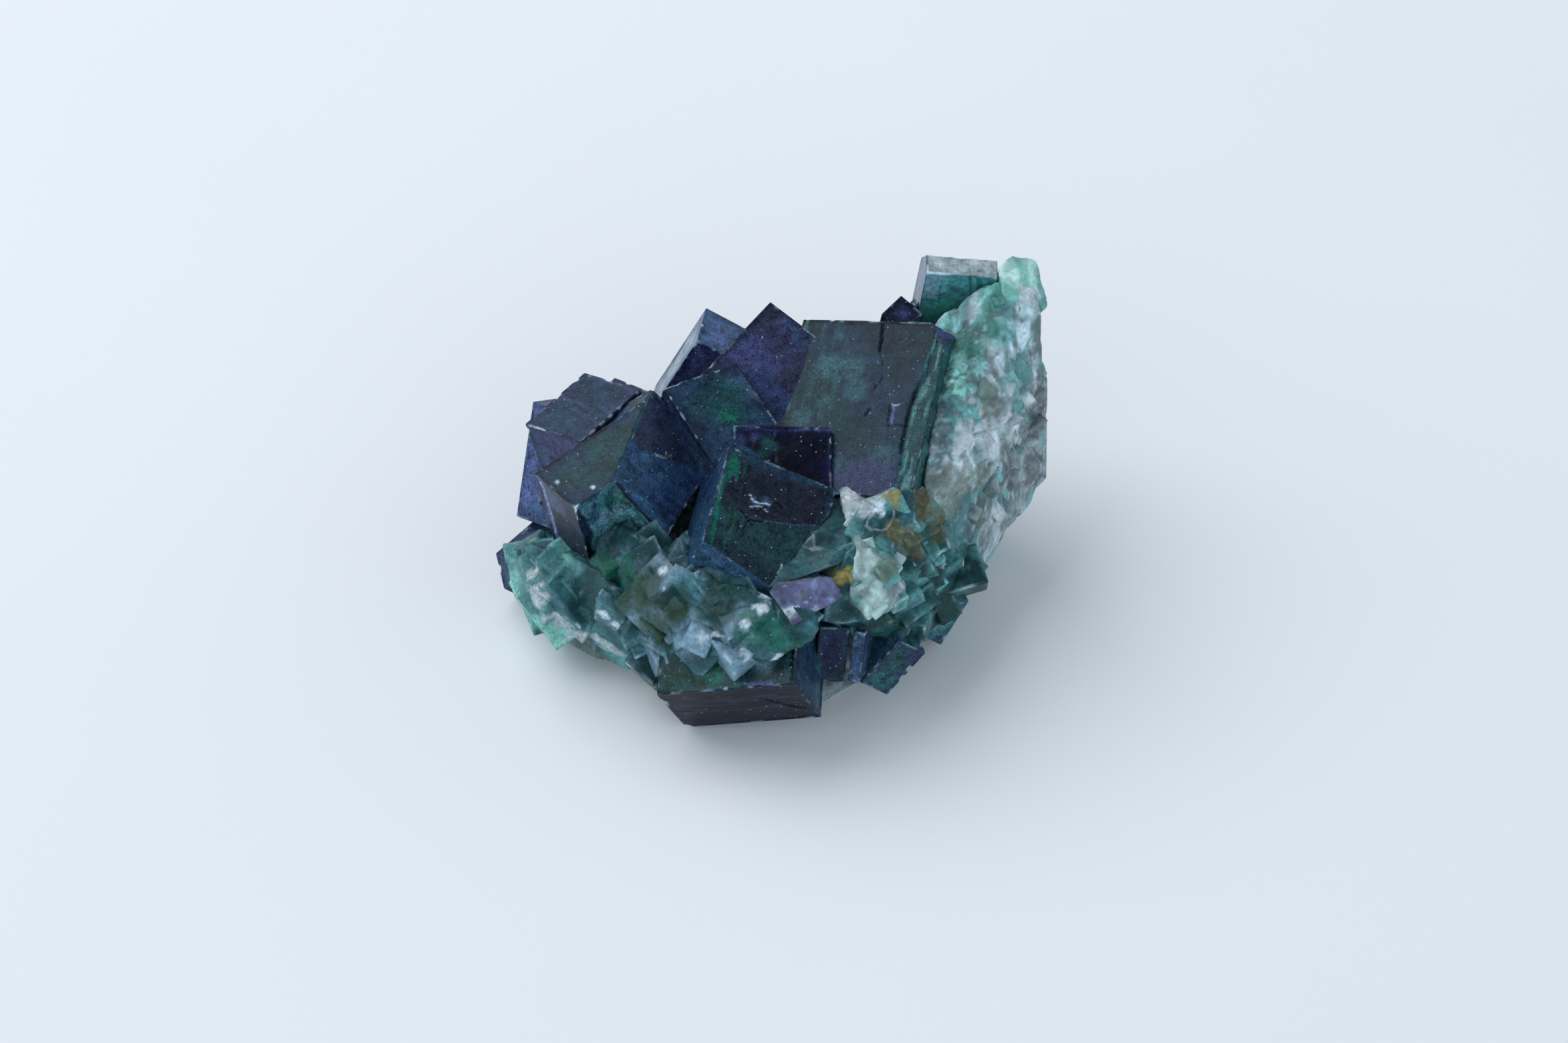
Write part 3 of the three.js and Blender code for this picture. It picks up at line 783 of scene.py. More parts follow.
# Each mass: its material, its break ("cleaved" has flat facets, "granular" has small rounded grains
# drawn out along Z), its colours (deep, middle, crust), the size and depth of its large and small
# breaks, how much of it the crust covers, and its spots. A spot is (colour, radius in millimetres,
# amount, places as shares of the CAD node's box along X, Y and Z). Its shards are its fragments: how
# many, the smallest and largest side, and how proud they stand as a share of their size, and "dust"
# is how much crust lies on them. "bloom" makes the paint lighter or darker, "coarse" multiplies the
# spacing of the grid, and "grown" is how far the mass swells, where it isn't INTERGROWTH.
MASSES = {
    "front_green_mass": {
        "finish": "green", "break": "cleaved", "colours": ("bottle", "teal", "crust"), "lightness": 0.95,
        "breaks": (3.4, 0.9, 1.3, 0.2), "crust": -0.05, "grown": 2.4,
        "dust": 0.35, "coarse": 1.2,
        "shards": (66, 2.2, 5.4, 0.12),
        "spots": [
            ("crust", 1.2, 0.7, [(0.03, 0.63, 0.63), (0.46, 0.24, 0.57), (0.54, 0.23, 0.72),
                                  (0.66, 0.18, 0.78), (0.74, 0.17, 0.86), (0.29, 0.34, 0.38),
                                  (0.62, 0.24, 0.89), (0.44, 0.42, 0.94)]),
            ("pine", 2.0, 0.85, [(0.21, 0.49, 0.69), (0.34, 0.43, 0.79), (0.46, 0.34, 0.83),
                                (0.64, 0.26, 0.97), (0.58, 0.24, 0.82)]),
            ("moss", 1.7, 0.85, [(0.37, 0.32, 0.62), (0.41, 0.32, 0.72), (0.27, 0.42, 0.72)]),
            ("emerald", 1.9, 0.8, [(0.79, 0.12, 0.78), (0.92, 0.08, 0.78), (0.14, 0.52, 0.75)]),
            ("frost", 0.45, 0.95, [(0.10, 0.51, 0.48), (0.13, 0.48, 0.43), (0.62, 0.16, 0.70),
                                   (0.54, 0.20, 0.66), (0.74, 0.15, 0.81), (0.84, 0.18, 0.91),
                                   (0.37, 0.45, 0.90), (0.23, 0.41, 0.23), (0.77, 0.06, 0.63),
                                   (0.94, 0.01, 0.66), (0.88, 0.24, 0.97)]),
        ],
    },
    "left_green_lobe": {
        "finish": "green", "break": "cleaved", "colours": ("teal", "sea", "mint"),
        "breaks": (4.5, 0.7, 1.6, 0.12), "crust": -0.1, "lightness": 0.9,
        "shards": (26, 3.0, 6.0, -0.15),
        "spots": [
            # Mint at the thin left end: partly the glass's pale colour, partly painted light coming
            # through the thin glass.
            ("mint", 1.9, 0.8, [(0.06, 0.68, 0.49), (0.08, 0.65, 0.49), (0.15, 0.56, 0.37),
                                (0.24, 0.49, 0.32), (0.10, 0.62, 0.48)]),
            ("teal", 2.0, 0.8, [(0.32, 0.47, 0.69), (0.37, 0.40, 0.67), (0.47, 0.32, 0.64)]),
            ("bottle", 1.8, 0.9, [(0.62, 0.21, 0.62), (0.63, 0.20, 0.91), (0.69, 0.23, 0.97)]),
            ("earth", 1.7, 0.8, [(0.35, 0.43, 0.11), (0.52, 0.32, 0.12), (0.65, 0.26, 0.05)]),
            ("bone", 0.6, 0.9, [(0.31, 0.45, 0.23), (0.42, 0.38, 0.18), (0.32, 0.47, 0.69),
                                (0.40, 0.40, 0.58), (0.46, 0.35, 0.48), (0.52, 0.29, 0.40),
                                (0.60, 0.24, 0.37), (0.73, 0.17, 0.33), (0.82, 0.11, 0.29)]),
        ],
    },
    "lower_green_mass": {
        "finish": "green", "break": "cleaved", "colours": ("bottle", "teal", "sea"),
        "breaks": (3.4, 0.8, 1.2, 0.18), "crust": 0.0, "lightness": 1.1,
        "shards": (70, 1.8, 4.4, 0.0),
        "spots": [
            ("rust", 1.2, 0.7, [(0.55, 0.41, 0.79), (0.43, 0.40, 0.90), (0.67, 0.56, 0.79),
                                (0.62, 0.58, 0.96)]),
            ("sea", 1.5, 0.6, [(0.79, 0.67, 0.58), (0.50, 0.28, 0.61), (0.29, 0.39, 0.81),
                               (0.20, 0.35, 0.73)]),
            ("pine", 1.5, 0.7, [(0.48, 0.23, 0.34), (0.67, 0.47, 0.29), (0.39, 0.15, 0.44),
                                (0.04, 0.26, 0.44)]),
            ("bone", 1.2, 0.85, [(0.25, 0.62, 0.93), (0.33, 0.54, 0.91)]),
            ("frost", 0.5, 0.9, [(0.25, 0.62, 0.93), (0.36, 0.50, 0.92)]),
            ("ochre", 0.8, 0.85, [(0.43, 0.54, 0.99), (0.16, 0.15, 0.78), (0.13, 0.23, 0.73)]),
        ],
    },
    "green_pane": {
        "finish": "green", "break": "cleaved", "colours": ("teal", "bottle", "sea"),
        "breaks": (3.0, 0.4, 1.2, 0.06), "crust": -0.2, "lightness": 0.8,
    },
    "pale_green_knob": {
        "finish": "pale", "break": "cleaved", "colours": ("mint", "sea", "aqua"),
        "breaks": (2.6, 0.4, 1.0, 0.08), "crust": -0.1, "lightness": 1.15, "grown": 0.5,
        "spots": [
            ("aqua", 1.4, 0.8, [(0.4, 0.3, 0.98), (0.3, 0.5, 1.0)]),
            ("jade", 1.6, 0.6, [(0.4, 0.1, 0.2), (0.8, 0.2, 0.3)]),
        ],
    },
    "white_chunk_lower": {
        "finish": "pale", "break": "cleaved", "colours": ("sea", "ash", "aqua"),
        "breaks": (2.0, 0.6, 0.8, 0.12), "crust": 0.0, "lightness": 0.82,
        "shards": (30, 0.8, 2.0, 0.1),
        "spots": [
            ("aqua", 1.1, 0.9, [(0.43, 0.05, 0.59), (0.40, 0.15, 0.40)]),
            ("rust", 0.9, 0.6, [(0.52, 0.20, 0.93), (0.69, 0.40, 0.89)]),
        ],
    },
    "white_chunk_upper": {
        "finish": "white", "break": "granular", "colours": ("bone", "ash", "frost"), "lightness": 1.15,
        "breaks": (1.3, 0.5, 0.45, 0.15), "crust": 0.0,
        "shards": (30, 0.6, 1.5, 0.1),
        "spots": [("frost", 0.7, 0.9, [(0.60, 0.46, 0.96), (0.22, 0.39, 0.78)])],
    },
    "purple_vein": {
        "finish": "white", "break": "granular", "colours": ("slate", "grape", "crust"),
        "breaks": (1.2, 0.35, 0.4, 0.14), "crust": 0.0, "lightness": 1.05,
        "spots": [
            ("grape", 1.6, 0.85, [(0.48, 0.25, 0.88), (0.48, 0.41, 0.88), (0.75, 0.55, 0.9)]),
            ("frost", 0.6, 0.95, [(0.17, 0.14, 0.90)]),
        ],
    },
    "pale_flank_rock": {
        "finish": "white", "break": "granular", "colours": ("ash", "sea", "bone"),
        "breaks": (2.6, 0.9, 0.55, 0.18), "crust": 0.0, "lightness": 1.15, "grown": 0.3, "coarse": 1.25,
        "shards": (120, 0.8, 3.0, -0.2),
        "spots": [
            ("sea", 2.2, 0.7, [(0.49, 0.54, 0.86), (0.48, 0.65, 0.90), (0.79, 0.60, 0.76),
                               (0.60, 0.69, 0.92), (0.62, 0.76, 0.95), (0.63, 0.79, 0.97)]),
            ("teal", 2.0, 0.8, [(0.49, 0.12, 0.37), (0.55, 0.17, 0.39), (0.40, 0.05, 0.45),
                                (0.35, 0.04, 0.44)]),
            ("jade", 1.5, 0.7, [(0.50, 0.58, 0.88), (0.58, 0.68, 0.93), (0.62, 0.80, 0.96),
                                (0.52, 0.45, 0.80)]),
            ("emerald", 1.3, 0.7, [(0.47, 0.68, 0.90), (0.44, 0.62, 0.88)]),
            ("mint", 1.2, 0.65, [(0.42, 0.43, 0.82), (0.44, 0.47, 0.84), (0.40, 0.50, 0.84)]),
            ("bottle", 1.1, 0.75, [(0.33, 0.33, 0.78), (0.30, 0.27, 0.75), (0.28, 0.22, 0.73),
                                   (0.26, 0.15, 0.67), (0.24, 0.09, 0.62)]),
            ("bone", 1.4, 0.8, [(0.59, 0.34, 0.61), (0.62, 0.40, 0.68), (0.49, 0.31, 0.68),
                                (0.43, 0.20, 0.61)]),
            ("frost", 0.7, 0.7, [(0.85, 0.73, 0.87), (0.80, 0.69, 0.85), (0.75, 0.64, 0.84),
                                 (0.67, 0.56, 0.81), (0.52, 0.33, 0.66)]),
            ("earth", 1.5, 0.7, [(0.31, 0.14, 0.60), (0.39, 0.17, 0.55), (0.57, 0.26, 0.52),
                                 (0.60, 0.47, 0.70), (0.57, 0.20, 0.41)]),
            ("bark", 1.7, 0.65, [(0.75, 0.43, 0.50), (0.89, 0.58, 0.53), (0.97, 0.68, 0.57),
                                 (0.89, 0.48, 0.37), (0.76, 0.34, 0.31), (0.91, 0.73, 0.78),
                                 (0.84, 0.53, 0.54)]),
        ],
    },
    "host_rock": {
        "finish": "rock", "break": "granular", "colours": ("earth", "bark", "ash"),
        "breaks": (3.2, 0.8, 0.8, 0.25), "crust": 0.15, "coarse": 1.6,
        "spots": [("pine", 3.0, 0.9, [(0.27, 0.31, 0.97), (0.28, 0.34, 1.0)])],
    },
}

GREEN_MASSES = ("front_green_mass", "left_green_lobe", "lower_green_mass", "green_pane")
PALE_MASSES = ("pale_green_knob", "white_chunk_lower", "white_chunk_upper", "purple_vein")
ROCKS = ("pale_flank_rock", "host_rock")

# Numbers of the masses: lengths are in millimetres
BASE_FADE = 1.2  # the breaks fade out this far above the surface that the specimen rests on
INTERGROWTH = 1.0  # how far a mass swells past its CAD node, into what it grew against
GRAIN_STRETCH = 0.5  # heights are multiplied by this for the small grains, so they are longer along Z
PIT_SPACING = 1.1  # of the pits in a granular surface
SMALLEST_FLAT = 1e-4  # square millimetres, under which a flat of a hull is only a sliver
NEVER = 1e9  # the reach to a flat that faces away
SHARD_CELL = 0.3  # spacing of the grid on a fragment
SHARD_EDGE = 0.05  # rounding of a fragment's edges
SHARD_TURN = 50  # degrees between the most turned fragments
SHARD_LOTS = 12  # random numbers that each fragment takes
GOLDEN = 2.39996  # the golden angle, in radians


def hull_planes(points):
    """The outward directions and the distances of the flats of the convex hull of the points,
    from the points' middle."""
    middle = (points.min(axis=0) + points.max(axis=0)) / 2
    corners = bpy.data.meshes.new("corners")
    corners.from_pydata(points - middle, [], [])
    work = bmesh.new()
    work.from_mesh(corners)
    bpy.data.meshes.remove(corners)
    bmesh.ops.convex_hull(work, input=work.verts)
    work.normal_update()
    whole = [face for face in work.faces if face.calc_area() > SMALLEST_FLAT]
    directions = np.array([face.normal for face in whole])
    distances = np.array([face.normal.dot(face.verts[0].co) for face in whole])
    work.free()
    flip = np.where(distances < 0, -1, 1)
    return middle, directions * flip[:, None], distances * flip


def break_mass(name, mass, sizes):
    """A broken mass. Each point of a box grid is drawn straight towards the middle until it is on
    the nearest flat of the CAD node's hull, swollen towards the middle of the specimen so that it
    meets its neighbours, then further in by the broken surface: flat-sided pits or rounded grains
    of two sizes, and slow noise. Nothing moves near the resting surface."""
    seed = 700 + 20 * list(MASSES).index(name)
    corners = node_points(name)
    middle, directions, distances = hull_planes(corners)
    inward = unit(np.array([0.0, 0.0, CAD_BOX[1][2] / MM / 2]) - middle)
    grown = mass.get("grown", INTERGROWTH)
    distances = distances + grown * soft(directions @ inward, -0.3, 0.4)
    low, size = corners.min(axis=0), np.ptp(corners, axis=0)
    share, squares = shell(size, sizes.rock_cell / MM * mass.get("coarse", 1))
    place = (share - 0.5) * size
    reach = np.full(len(place), NEVER)
    for toward, distance in zip(directions, distances):
        facing = place @ toward
        ahead = distance / np.maximum(facing, 1e-6)
        reach = np.where(facing > 1e-6, np.minimum(reach, ahead), reach)
    place = place * reach[:, None]
    world = place + middle
    wide, deep, narrow, shallow = mass["breaks"]
    warp = np.stack([noise(world, 2 * wide, seed + k) for k in range(3)], axis=1)
    if mass["break"] == "cleaved":
        large, facet, ridge = cells(world + 0.15 * warp, wide, seed + 4, flat=True)
        small, chip, _ = cells(world + 0.1 * warp, narrow, seed + 8, flat=True)
        depth = deep * (0.7 - large) + shallow * (small - 0.6)
    else:
        drawn = world * np.array([1, 1, GRAIN_STRETCH])
        large, facet, ridge = cells(world + 0.35 * wide * warp, wide, seed + 4)
        small, chip, _ = cells(drawn + 0.3 * narrow * warp, narrow, seed + 8)
        pits = soft(noise(world, PIT_SPACING, seed + 11), 0.35, 0.8)
        depth = deep * (large - 0.35) + shallow * (small - 0.3) + 0.6 * shallow * pits
    depth = depth + 0.35 * deep * layered(world, 2 * wide, seed + 12)
    depth = depth * soft(world[:, 2], 0.0, BASE_FADE)
    length = np.linalg.norm(place, axis=1)
    shape = place * (1 - np.clip(depth, -0.6 * deep, None) / np.maximum(length, 1))[:, None]
    return {
        "points": shape + middle, "squares": squares, "world": world, "seed": seed, "ridge": ridge,
        "facet": facet, "chip": chip, "depth": depth, "low": low, "size": size,
        "hull": (middle, directions, distances),
    }


def stain(mass, cut, world, paint, strength):
    """Lays a mass's spots on points: each fades out from its places, with a ragged edge. A point is
    first moved towards the middle or away from it until it is as far out as the place, so that a
    spot also covers the fragments that stand over it."""
    middle = cut["hull"][0]
    away = world - middle
    away = away / np.maximum(np.linalg.norm(away, axis=1, keepdims=True), 1e-6)
    for colour, radius, amount, places in mass.get("spots", ()):
        centres = cut["low"] + np.array(places) * cut["size"] - middle
        nearest = np.min(
            [np.linalg.norm(away * np.linalg.norm(centre) - centre, axis=1) for centre in centres], axis=0
        )
        ragged = nearest + 0.8 * radius * layered(world, radius, cut["seed"] + 34)
        paint.coat(colour, soft(ragged, radius, radius * 0.5) * amount * strength)


def paint_mass(mass, cut, colours):
    """A mass's paint: two colours that change slowly across it, a crust in patches, and its spots.
    Cleaved glass is darker towards the bottom of each flat-sided pit, as painted shade, each facet is
    lighter or darker at random, partly its own tone and partly painted reflection, and it is pale along
    the broken ridges. Granular rock changes from grain to grain, with dark spots of painted shade for
    its pits. Painted shade also darkens the places that are pressed in furthest."""
    world, seed = cut["world"], cut["seed"]
    cleaved = mass["break"] == "cleaved"
    deep, middle, crust = mass["colours"]
    paint = Paint(len(world), colours)
    paint.coat(deep, 1.0, wear=0.4)
    mix = layered(world, 3.0, seed + 30) + 0.4 * (cut["facet"] - 0.5)
    paint.coat(middle, soft(mix, -0.25, 0.25))
    patches = layered(world, 2.4, seed + 32, 4) + mass["crust"]
    paint.coat(crust, soft(patches, 0.05, 0.45) * 0.75, wear=0.8)
    stain(mass, cut, world, paint, 1.0)
    if cleaved:
        # Painted shade: the glass is darker towards the bottom of each flat-sided pit.
        inside = soft(cut["ridge"], 0.15, 0.7)
        paint.lighten(-0.45 * inside * cut["facet"])
        # Each facet and each small chip is lighter or darker at random: partly the glass's own tone,
        # partly painted reflection, as facets that face different ways catch the light differently.
        paint.lighten(0.5 * (cut["facet"] - 0.5) + 0.2 * (cut["chip"] - 0.5))
        bruised = soft(cut["ridge"], 0.09, 0.02) * soft(noise(world, 1.5, seed + 33), 0.0, 0.5)
        paint.coat("frost", bruised * 0.3, wear=0.8)
    else:
        paint.lighten(1.0 * (cut["chip"] - 0.5) * soft(noise(world, 2.2, seed + 35), -0.6, 0.4))
        paint.lighten(0.8 * layered(world, 1.0, seed + 40))
        speck = soft(noise(world, 0.35, seed + 36) + 0.5 * noise(world, 1.2, seed + 37), 0.45, 0.85)
        paint.coat("frost", speck * 0.35, wear=0.9)
        # Painted shade: dark brown-grey spots that stand in for the shade in small pits.
        pits = soft(noise(world, 0.5, seed + 38) + 0.6 * noise(world, 1.6, seed + 39), 0.5, 0.85)
        paint.coat("bark", pits * 0.75)
    paint.lighten(0.3 * layered(world, 0.5, seed + 31))
    # Painted shade where the surface is pressed in furthest: at the bottom of the pits and between the
    # grains.
    paint.coat("ink", soft(cut["depth"], 0.6, 1.4) * 0.4)
    paint.lighten(np.full(len(world), mass.get("lightness", 1) - 1))
    return paint


def shard(half, axes, centre, corner, cut_share):
    """One fragment: a box of half sides turned by its axes. Its edges are rounded, and what lies
    beyond the flat across one corner is drawn straight towards the middle until it is on the flat.
    Gives its points, its squares and each point's distance from the nearest edge."""
    share, squares = shell(2 * half, SHARD_CELL)
    place = (2 * share - 1) * half
    inner = np.clip(place, SHARD_EDGE - half, half - SHARD_EDGE)
    outward = place - inner
    length = np.maximum(np.linalg.norm(outward, axis=1, keepdims=True), 1e-9)
    shape = inner + SHARD_EDGE * outward / length
    level = cut_share * (np.abs(corner) @ half)
    beyond = shape @ corner
    shape = shape * np.where(beyond > level, level / np.maximum(beyond, 1e-6), 1.0)[:, None]
    from_edge = np.sort(half - np.abs(place), axis=1)[:, 1]
    return shape @ axes.T + centre, squares, from_edge


def paint_shard(mass, world, from_edge, half, lots, colours, seed):
    """A fragment's paint: one of the mass's colours, deeper in the middle of each side, with crust in
    patches and along the edges, and white bruises on them."""
    paint = Paint(len(world), colours)
    crust = mass["colours"][2]
    paint.coat(mass["colours"][int(lots[9] * 2.5)], 1.0, wear=0.3)
    paint.coat("pine", soft(from_edge, 0.2, half.min()) * 0.7 * lots[11])
    paint.lighten(0.9 * (lots[10] - 0.45) + 0.4 * layered(world, 1.2, seed + 51))
    dusted = soft(layered(world, 1.6, seed + 54), -0.05, 0.4)
    paint.coat(crust, dusted * mass.get("dust", 0.6), wear=0.7)
    pale = soft(from_edge, 0.2, 0.04) * soft(noise(world, 0.9, seed + 52), -0.2, 0.6)
    paint.coat(crust, pale * 0.6, wear=0.8)
    chipped = soft(from_edge, 0.12, 0.04) * soft(noise(world, 0.6, seed + 53), 0.3, 0.7)
    paint.coat("frost", chipped * 0.7, wear=0.9)
    return paint


def scatter(mass, hull, colours, seed):
    """Angular fragments half sunk in a broken mass. Their places are spread over the swollen hull by
    the golden angle, and random lots give each its sides, its turn, the corner that is cut off and
    its colour. None is made close to the surface that the specimen rests on."""
    count, smallest, largest, proud = mass["shards"]
    box = np.array(CAD_BOX) / MM
    middle, directions, distances = hull
    points, squares, paints, total = [], [], [], 0
    for k in range(count):
        draws = np.stack([np.full(SHARD_LOTS, k), np.arange(SHARD_LOTS), np.zeros(SHARD_LOTS)], axis=1)
        lots = hashed(draws.astype(np.int64), seed)
        height = 1 - (2 * k + 1) / count
        flat = math.sqrt(1 - height * height)
        toward = np.array([flat * math.cos(GOLDEN * k), flat * math.sin(GOLDEN * k), height])
        facing = directions @ toward
        reach = np.where(facing > 1e-6, distances / np.maximum(facing, 1e-6), NEVER).min()
        half = (smallest + (largest - smallest) * lots[:3] ** 1.5) / 2
        centre = middle + toward * (reach - half.mean() * (1.1 - proud))
        if centre[2] < largest * 0.6:
            continue
        axes = own_axes(SHARD_TURN * (lots[3:6] - 0.5)) @ CLEAVAGE_TURN
        width = np.abs(axes) @ half
        centre = np.clip(centre, box[0] + width, box[1] - width)
        corner = unit(lots[6:9] - 0.5)
        world, quads, from_edge = shard(half, axes, centre, corner, 0.45 + 0.3 * lots[9])
        points.append(world)
        squares.append(quads + total)
        paints.append(paint_shard(mass, world, from_edge, half, lots, colours, seed))
        total += len(world)
    return points, squares, paints


def split(names, context):
    """Makes the named masses and puts them in the place of their CAD nodes."""
    scene = context.scene
    colours = scene.fluorite_colours
    finishes = {
        "green": (green_fluorite, "green_fluorite"), "pale": (pale_fluorite, "pale_fluorite"),
        "white": (white_crust, "white_vein"), "rock": (host_rock, "host_rock"),
    }
    for name in names:
        mass = MASSES[name]
        material, slot = finishes[mass["finish"]]
        cut = break_mass(name, mass, scene.fluorite_sizes)
        paint = paint_mass(mass, cut, colours)
        points, squares = cut["points"], cut["squares"]
        if "shards" in mass:
            more, quads, paints = scatter(mass, cut["hull"], colours, cut["seed"])
            for world, fragment in zip(more, paints):
                stain(mass, cut, world, fragment, 0.95)
            quads = [part + len(points) for part in quads]
            points = np.concatenate([points, *more])
            squares = np.concatenate([squares, *quads])
            paint.colour = np.concatenate([paint.colour, *(each.colour for each in paints)])
            paint.wear = np.concatenate([paint.wear, *(each.wear for each in paints)])
        make_piece(name + "_broken", name, points, squares, paint, material())


# Materials


# The real sizes that the descriptions below give are estimates: none of them was measured.
FLUORITE_IOR = 1.433
QUARTZ_IOR = 1.54
LIMESTONE_IOR = 1.5  # a round value within calcite's 1.49 to 1.66
DUST_COLOUR = (0.52, 0.6, 0.7, 1)  # linear: bluish white
UNEVEN_GLOSS = 0.24  # how much the roughness changes from place to place


def add_node(tree, kind, inputs=None, **settings):
    """Adds a node with its settings. Each input gets a value, or a link from a socket."""
    made = tree.nodes.new(kind)
    for key, value in settings.items():
        setattr(made, key, value)
    for key, value in (inputs or {}).items():
        if isinstance(value, bpy.types.NodeSocket):
            tree.links.new(value, made.inputs[key])
        else:
            made.inputs[key].default_value = value
    return made


def start_material(name):
    """A material with only its output and its Principled shader, or the one already made."""
    found = bpy.data.materials.get(name)
    if found is not None:
        return found, None, None
    made = bpy.data.materials.new(name)
    made.use_nodes = True
    tree = made.node_tree
    tree.nodes.clear()
    shader = add_node(tree, "ShaderNodeBsdfPrincipled")
    add_node(tree, "ShaderNodeOutputMaterial", {"Surface": shader.outputs["BSDF"]})
    return made, tree, shader


def per_mm(size):
    """The scale that makes one cell of a pattern on Object coordinates that many millimetres."""
    return 1 / (size * MM)


def mineral(tree, shader, tone, specks, rough, bump):
    """What all the minerals share: the painted colour, lightened and darkened by noise, white
    specks of dust, a roughness that grows with wear, and fine relief. tone is (size, amount), specks
    is (spacing, radius as a share of it, amount), rough is (polished, worn) and bump is (size, height)."""
    place = add_node(tree, "ShaderNodeTexCoord").outputs["Object"]
    paint = add_node(tree, "ShaderNodeAttribute", attribute_name="paint").outputs["Color"]
    wear = add_node(tree, "ShaderNodeAttribute", attribute_name="wear").outputs["Fac"]
    cloud = add_node(
        tree, "ShaderNodeTexNoise",
        {"Vector": place, "Scale": per_mm(tone[0]), "Detail": 6.0, "Roughness": 0.75},
    )
    grain = add_node(
        tree, "ShaderNodeTexNoise",
        {"Vector": place, "Scale": per_mm(bump[0]), "Detail": 3.0, "Roughness": 0.6},
    )
    mixed = add_node(
        tree, "ShaderNodeMath", {0: grain.outputs["Fac"], 1: 1.0, 2: cloud.outputs["Fac"]},
        operation="MULTIPLY_ADD",
    )
    value = add_node(
        tree, "ShaderNodeMapRange",
        {"Value": mixed.outputs["Value"], "From Min": 0.7, "From Max": 1.3,
         "To Min": 1 - tone[1], "To Max": 1 + tone[1]},
    )
    toned = add_node(
        tree, "ShaderNodeHueSaturation", {"Color": paint, "Value": value.outputs["Result"]}
    )
    dots = add_node(tree, "ShaderNodeTexVoronoi", {"Vector": place, "Scale": per_mm(specks[0])})
    dot = add_node(
        tree, "ShaderNodeMapRange",
        {"Value": dots.outputs["Distance"], "From Min": specks[1], "From Max": specks[1] * 0.6},
    )
    pick = add_node(tree, "ShaderNodeSeparateColor", {"Color": dots.outputs["Color"]})
    kept = add_node(
        tree, "ShaderNodeMapRange",
        {"Value": pick.outputs["Red"], "From Min": 0.5, "From Max": 1.0, "To Max": specks[2]},
    )
    dust = add_node(
        tree, "ShaderNodeMath", {0: dot.outputs["Result"], 1: kept.outputs["Result"]},
        operation="MULTIPLY",
    )
    dusty = add_node(
        tree, "ShaderNodeMix",
        {0: dust.outputs["Value"], 6: toned.outputs["Color"], 7: DUST_COLOUR},
        data_type="RGBA",
    )
    gloss = add_node(
        tree, "ShaderNodeMapRange",
        {"Value": wear, "To Min": rough[0], "To Max": rough[1]},
    )
    uneven = add_node(
        tree, "ShaderNodeMath", {0: cloud.outputs["Fac"], 1: UNEVEN_GLOSS, 2: gloss.outputs["Result"]},
        operation="MULTIPLY_ADD",
    )
    relief = add_node(
        tree, "ShaderNodeBump",
        {"Height": grain.outputs["Fac"], "Distance": bump[1] * MM, "Strength": 1.0},
    )
    links = {
        "Base Color": dusty.outputs[2], "Roughness": uneven.outputs["Value"],
        "Normal": relief.outputs["Normal"],
    }
    for key, socket in links.items():
        tree.links.new(socket, shader.inputs[key])


def zoned_fluorite():
    """Fluorite with naturally grown faces: nearly opaque purple over green, dulled by fine etching,
    so that it looks satin and dark, with specks of dust on it. The dust is taken as 0.12 mm wide.
    The etch pits are taken as finer than 0.05 mm, too fine to show, and are drawn at 0.16 mm."""
    made, tree, shader = start_material("Zoned fluorite grown faces")
    if tree is not None:
        shader.inputs["IOR"].default_value = FLUORITE_IOR
        shader.inputs["Specular IOR Level"].default_value = 0.21
        mineral(tree, shader, (0.8, 1.0), (0.4, 0.15, 1.0), (0.22, 0.5), (0.16, 0.012))
    return made


def green_fluorite():
    """Broken green fluorite: glassy cleaved facets, so that it shines more sharply than the grown
    faces, with pale bruises where the breaks crushed it. The fine steps of the cleavage are
    taken as under 0.1 mm, too fine to show, and are drawn at 0.3 mm."""
    made, tree, shader = start_material("Green fluorite cleaved")
    if tree is not None:
        shader.inputs["IOR"].default_value = FLUORITE_IOR
        shader.inputs["Specular IOR Level"].default_value = 0.28
        mineral(tree, shader, (0.9, 0.5), (0.5, 0.1, 0.8), (0.12, 0.5), (0.3, 0.02))
    return made


def pale_fluorite():
    """Thin pale green fluorite, broken: light seeps into it, so that it looks soft and bright. That
    brightness is painted into its colour, partly the glass's own pale green and partly painted light,
    as this shader lets no light into it. The fine steps of the cleavage are taken as under 0.1 mm, and
    are drawn at 0.35 mm."""
    made, tree, shader = start_material("Pale fluorite cleaved")
    if tree is not None:
        shader.inputs["IOR"].default_value = FLUORITE_IOR
        mineral(tree, shader, (1.0, 0.2), (0.8, 0.1, 0.3), (0.15, 0.5), (0.35, 0.03))
    return made


def white_crust():
    """Granular white and grey crust of quartz and crushed fluorite: rough and sugary. Its grains are
    taken as 0.28 mm."""
    made, tree, shader = start_material("White granular crust")
    if tree is not None:
        shader.inputs["IOR"].default_value = QUARTZ_IOR
        mineral(tree, shader, (0.7, 0.3), (0.8, 0.15, 0.5), (0.4, 0.7), (0.28, 0.07))
    return made


def host_rock():
    """Grey-brown limestone, broken from its bed: dull and gritty. Its grit is taken as under
    0.1 mm, too fine to show, and is drawn at 0.3 mm."""
    made, tree, shader = start_material("Limestone broken")
    if tree is not None:
        shader.inputs["IOR"].default_value = LIMESTONE_IOR
        mineral(tree, shader, (0.8, 0.35), (0.9, 0.12, 0.4), (0.6, 0.85), (0.3, 0.08))
    return made


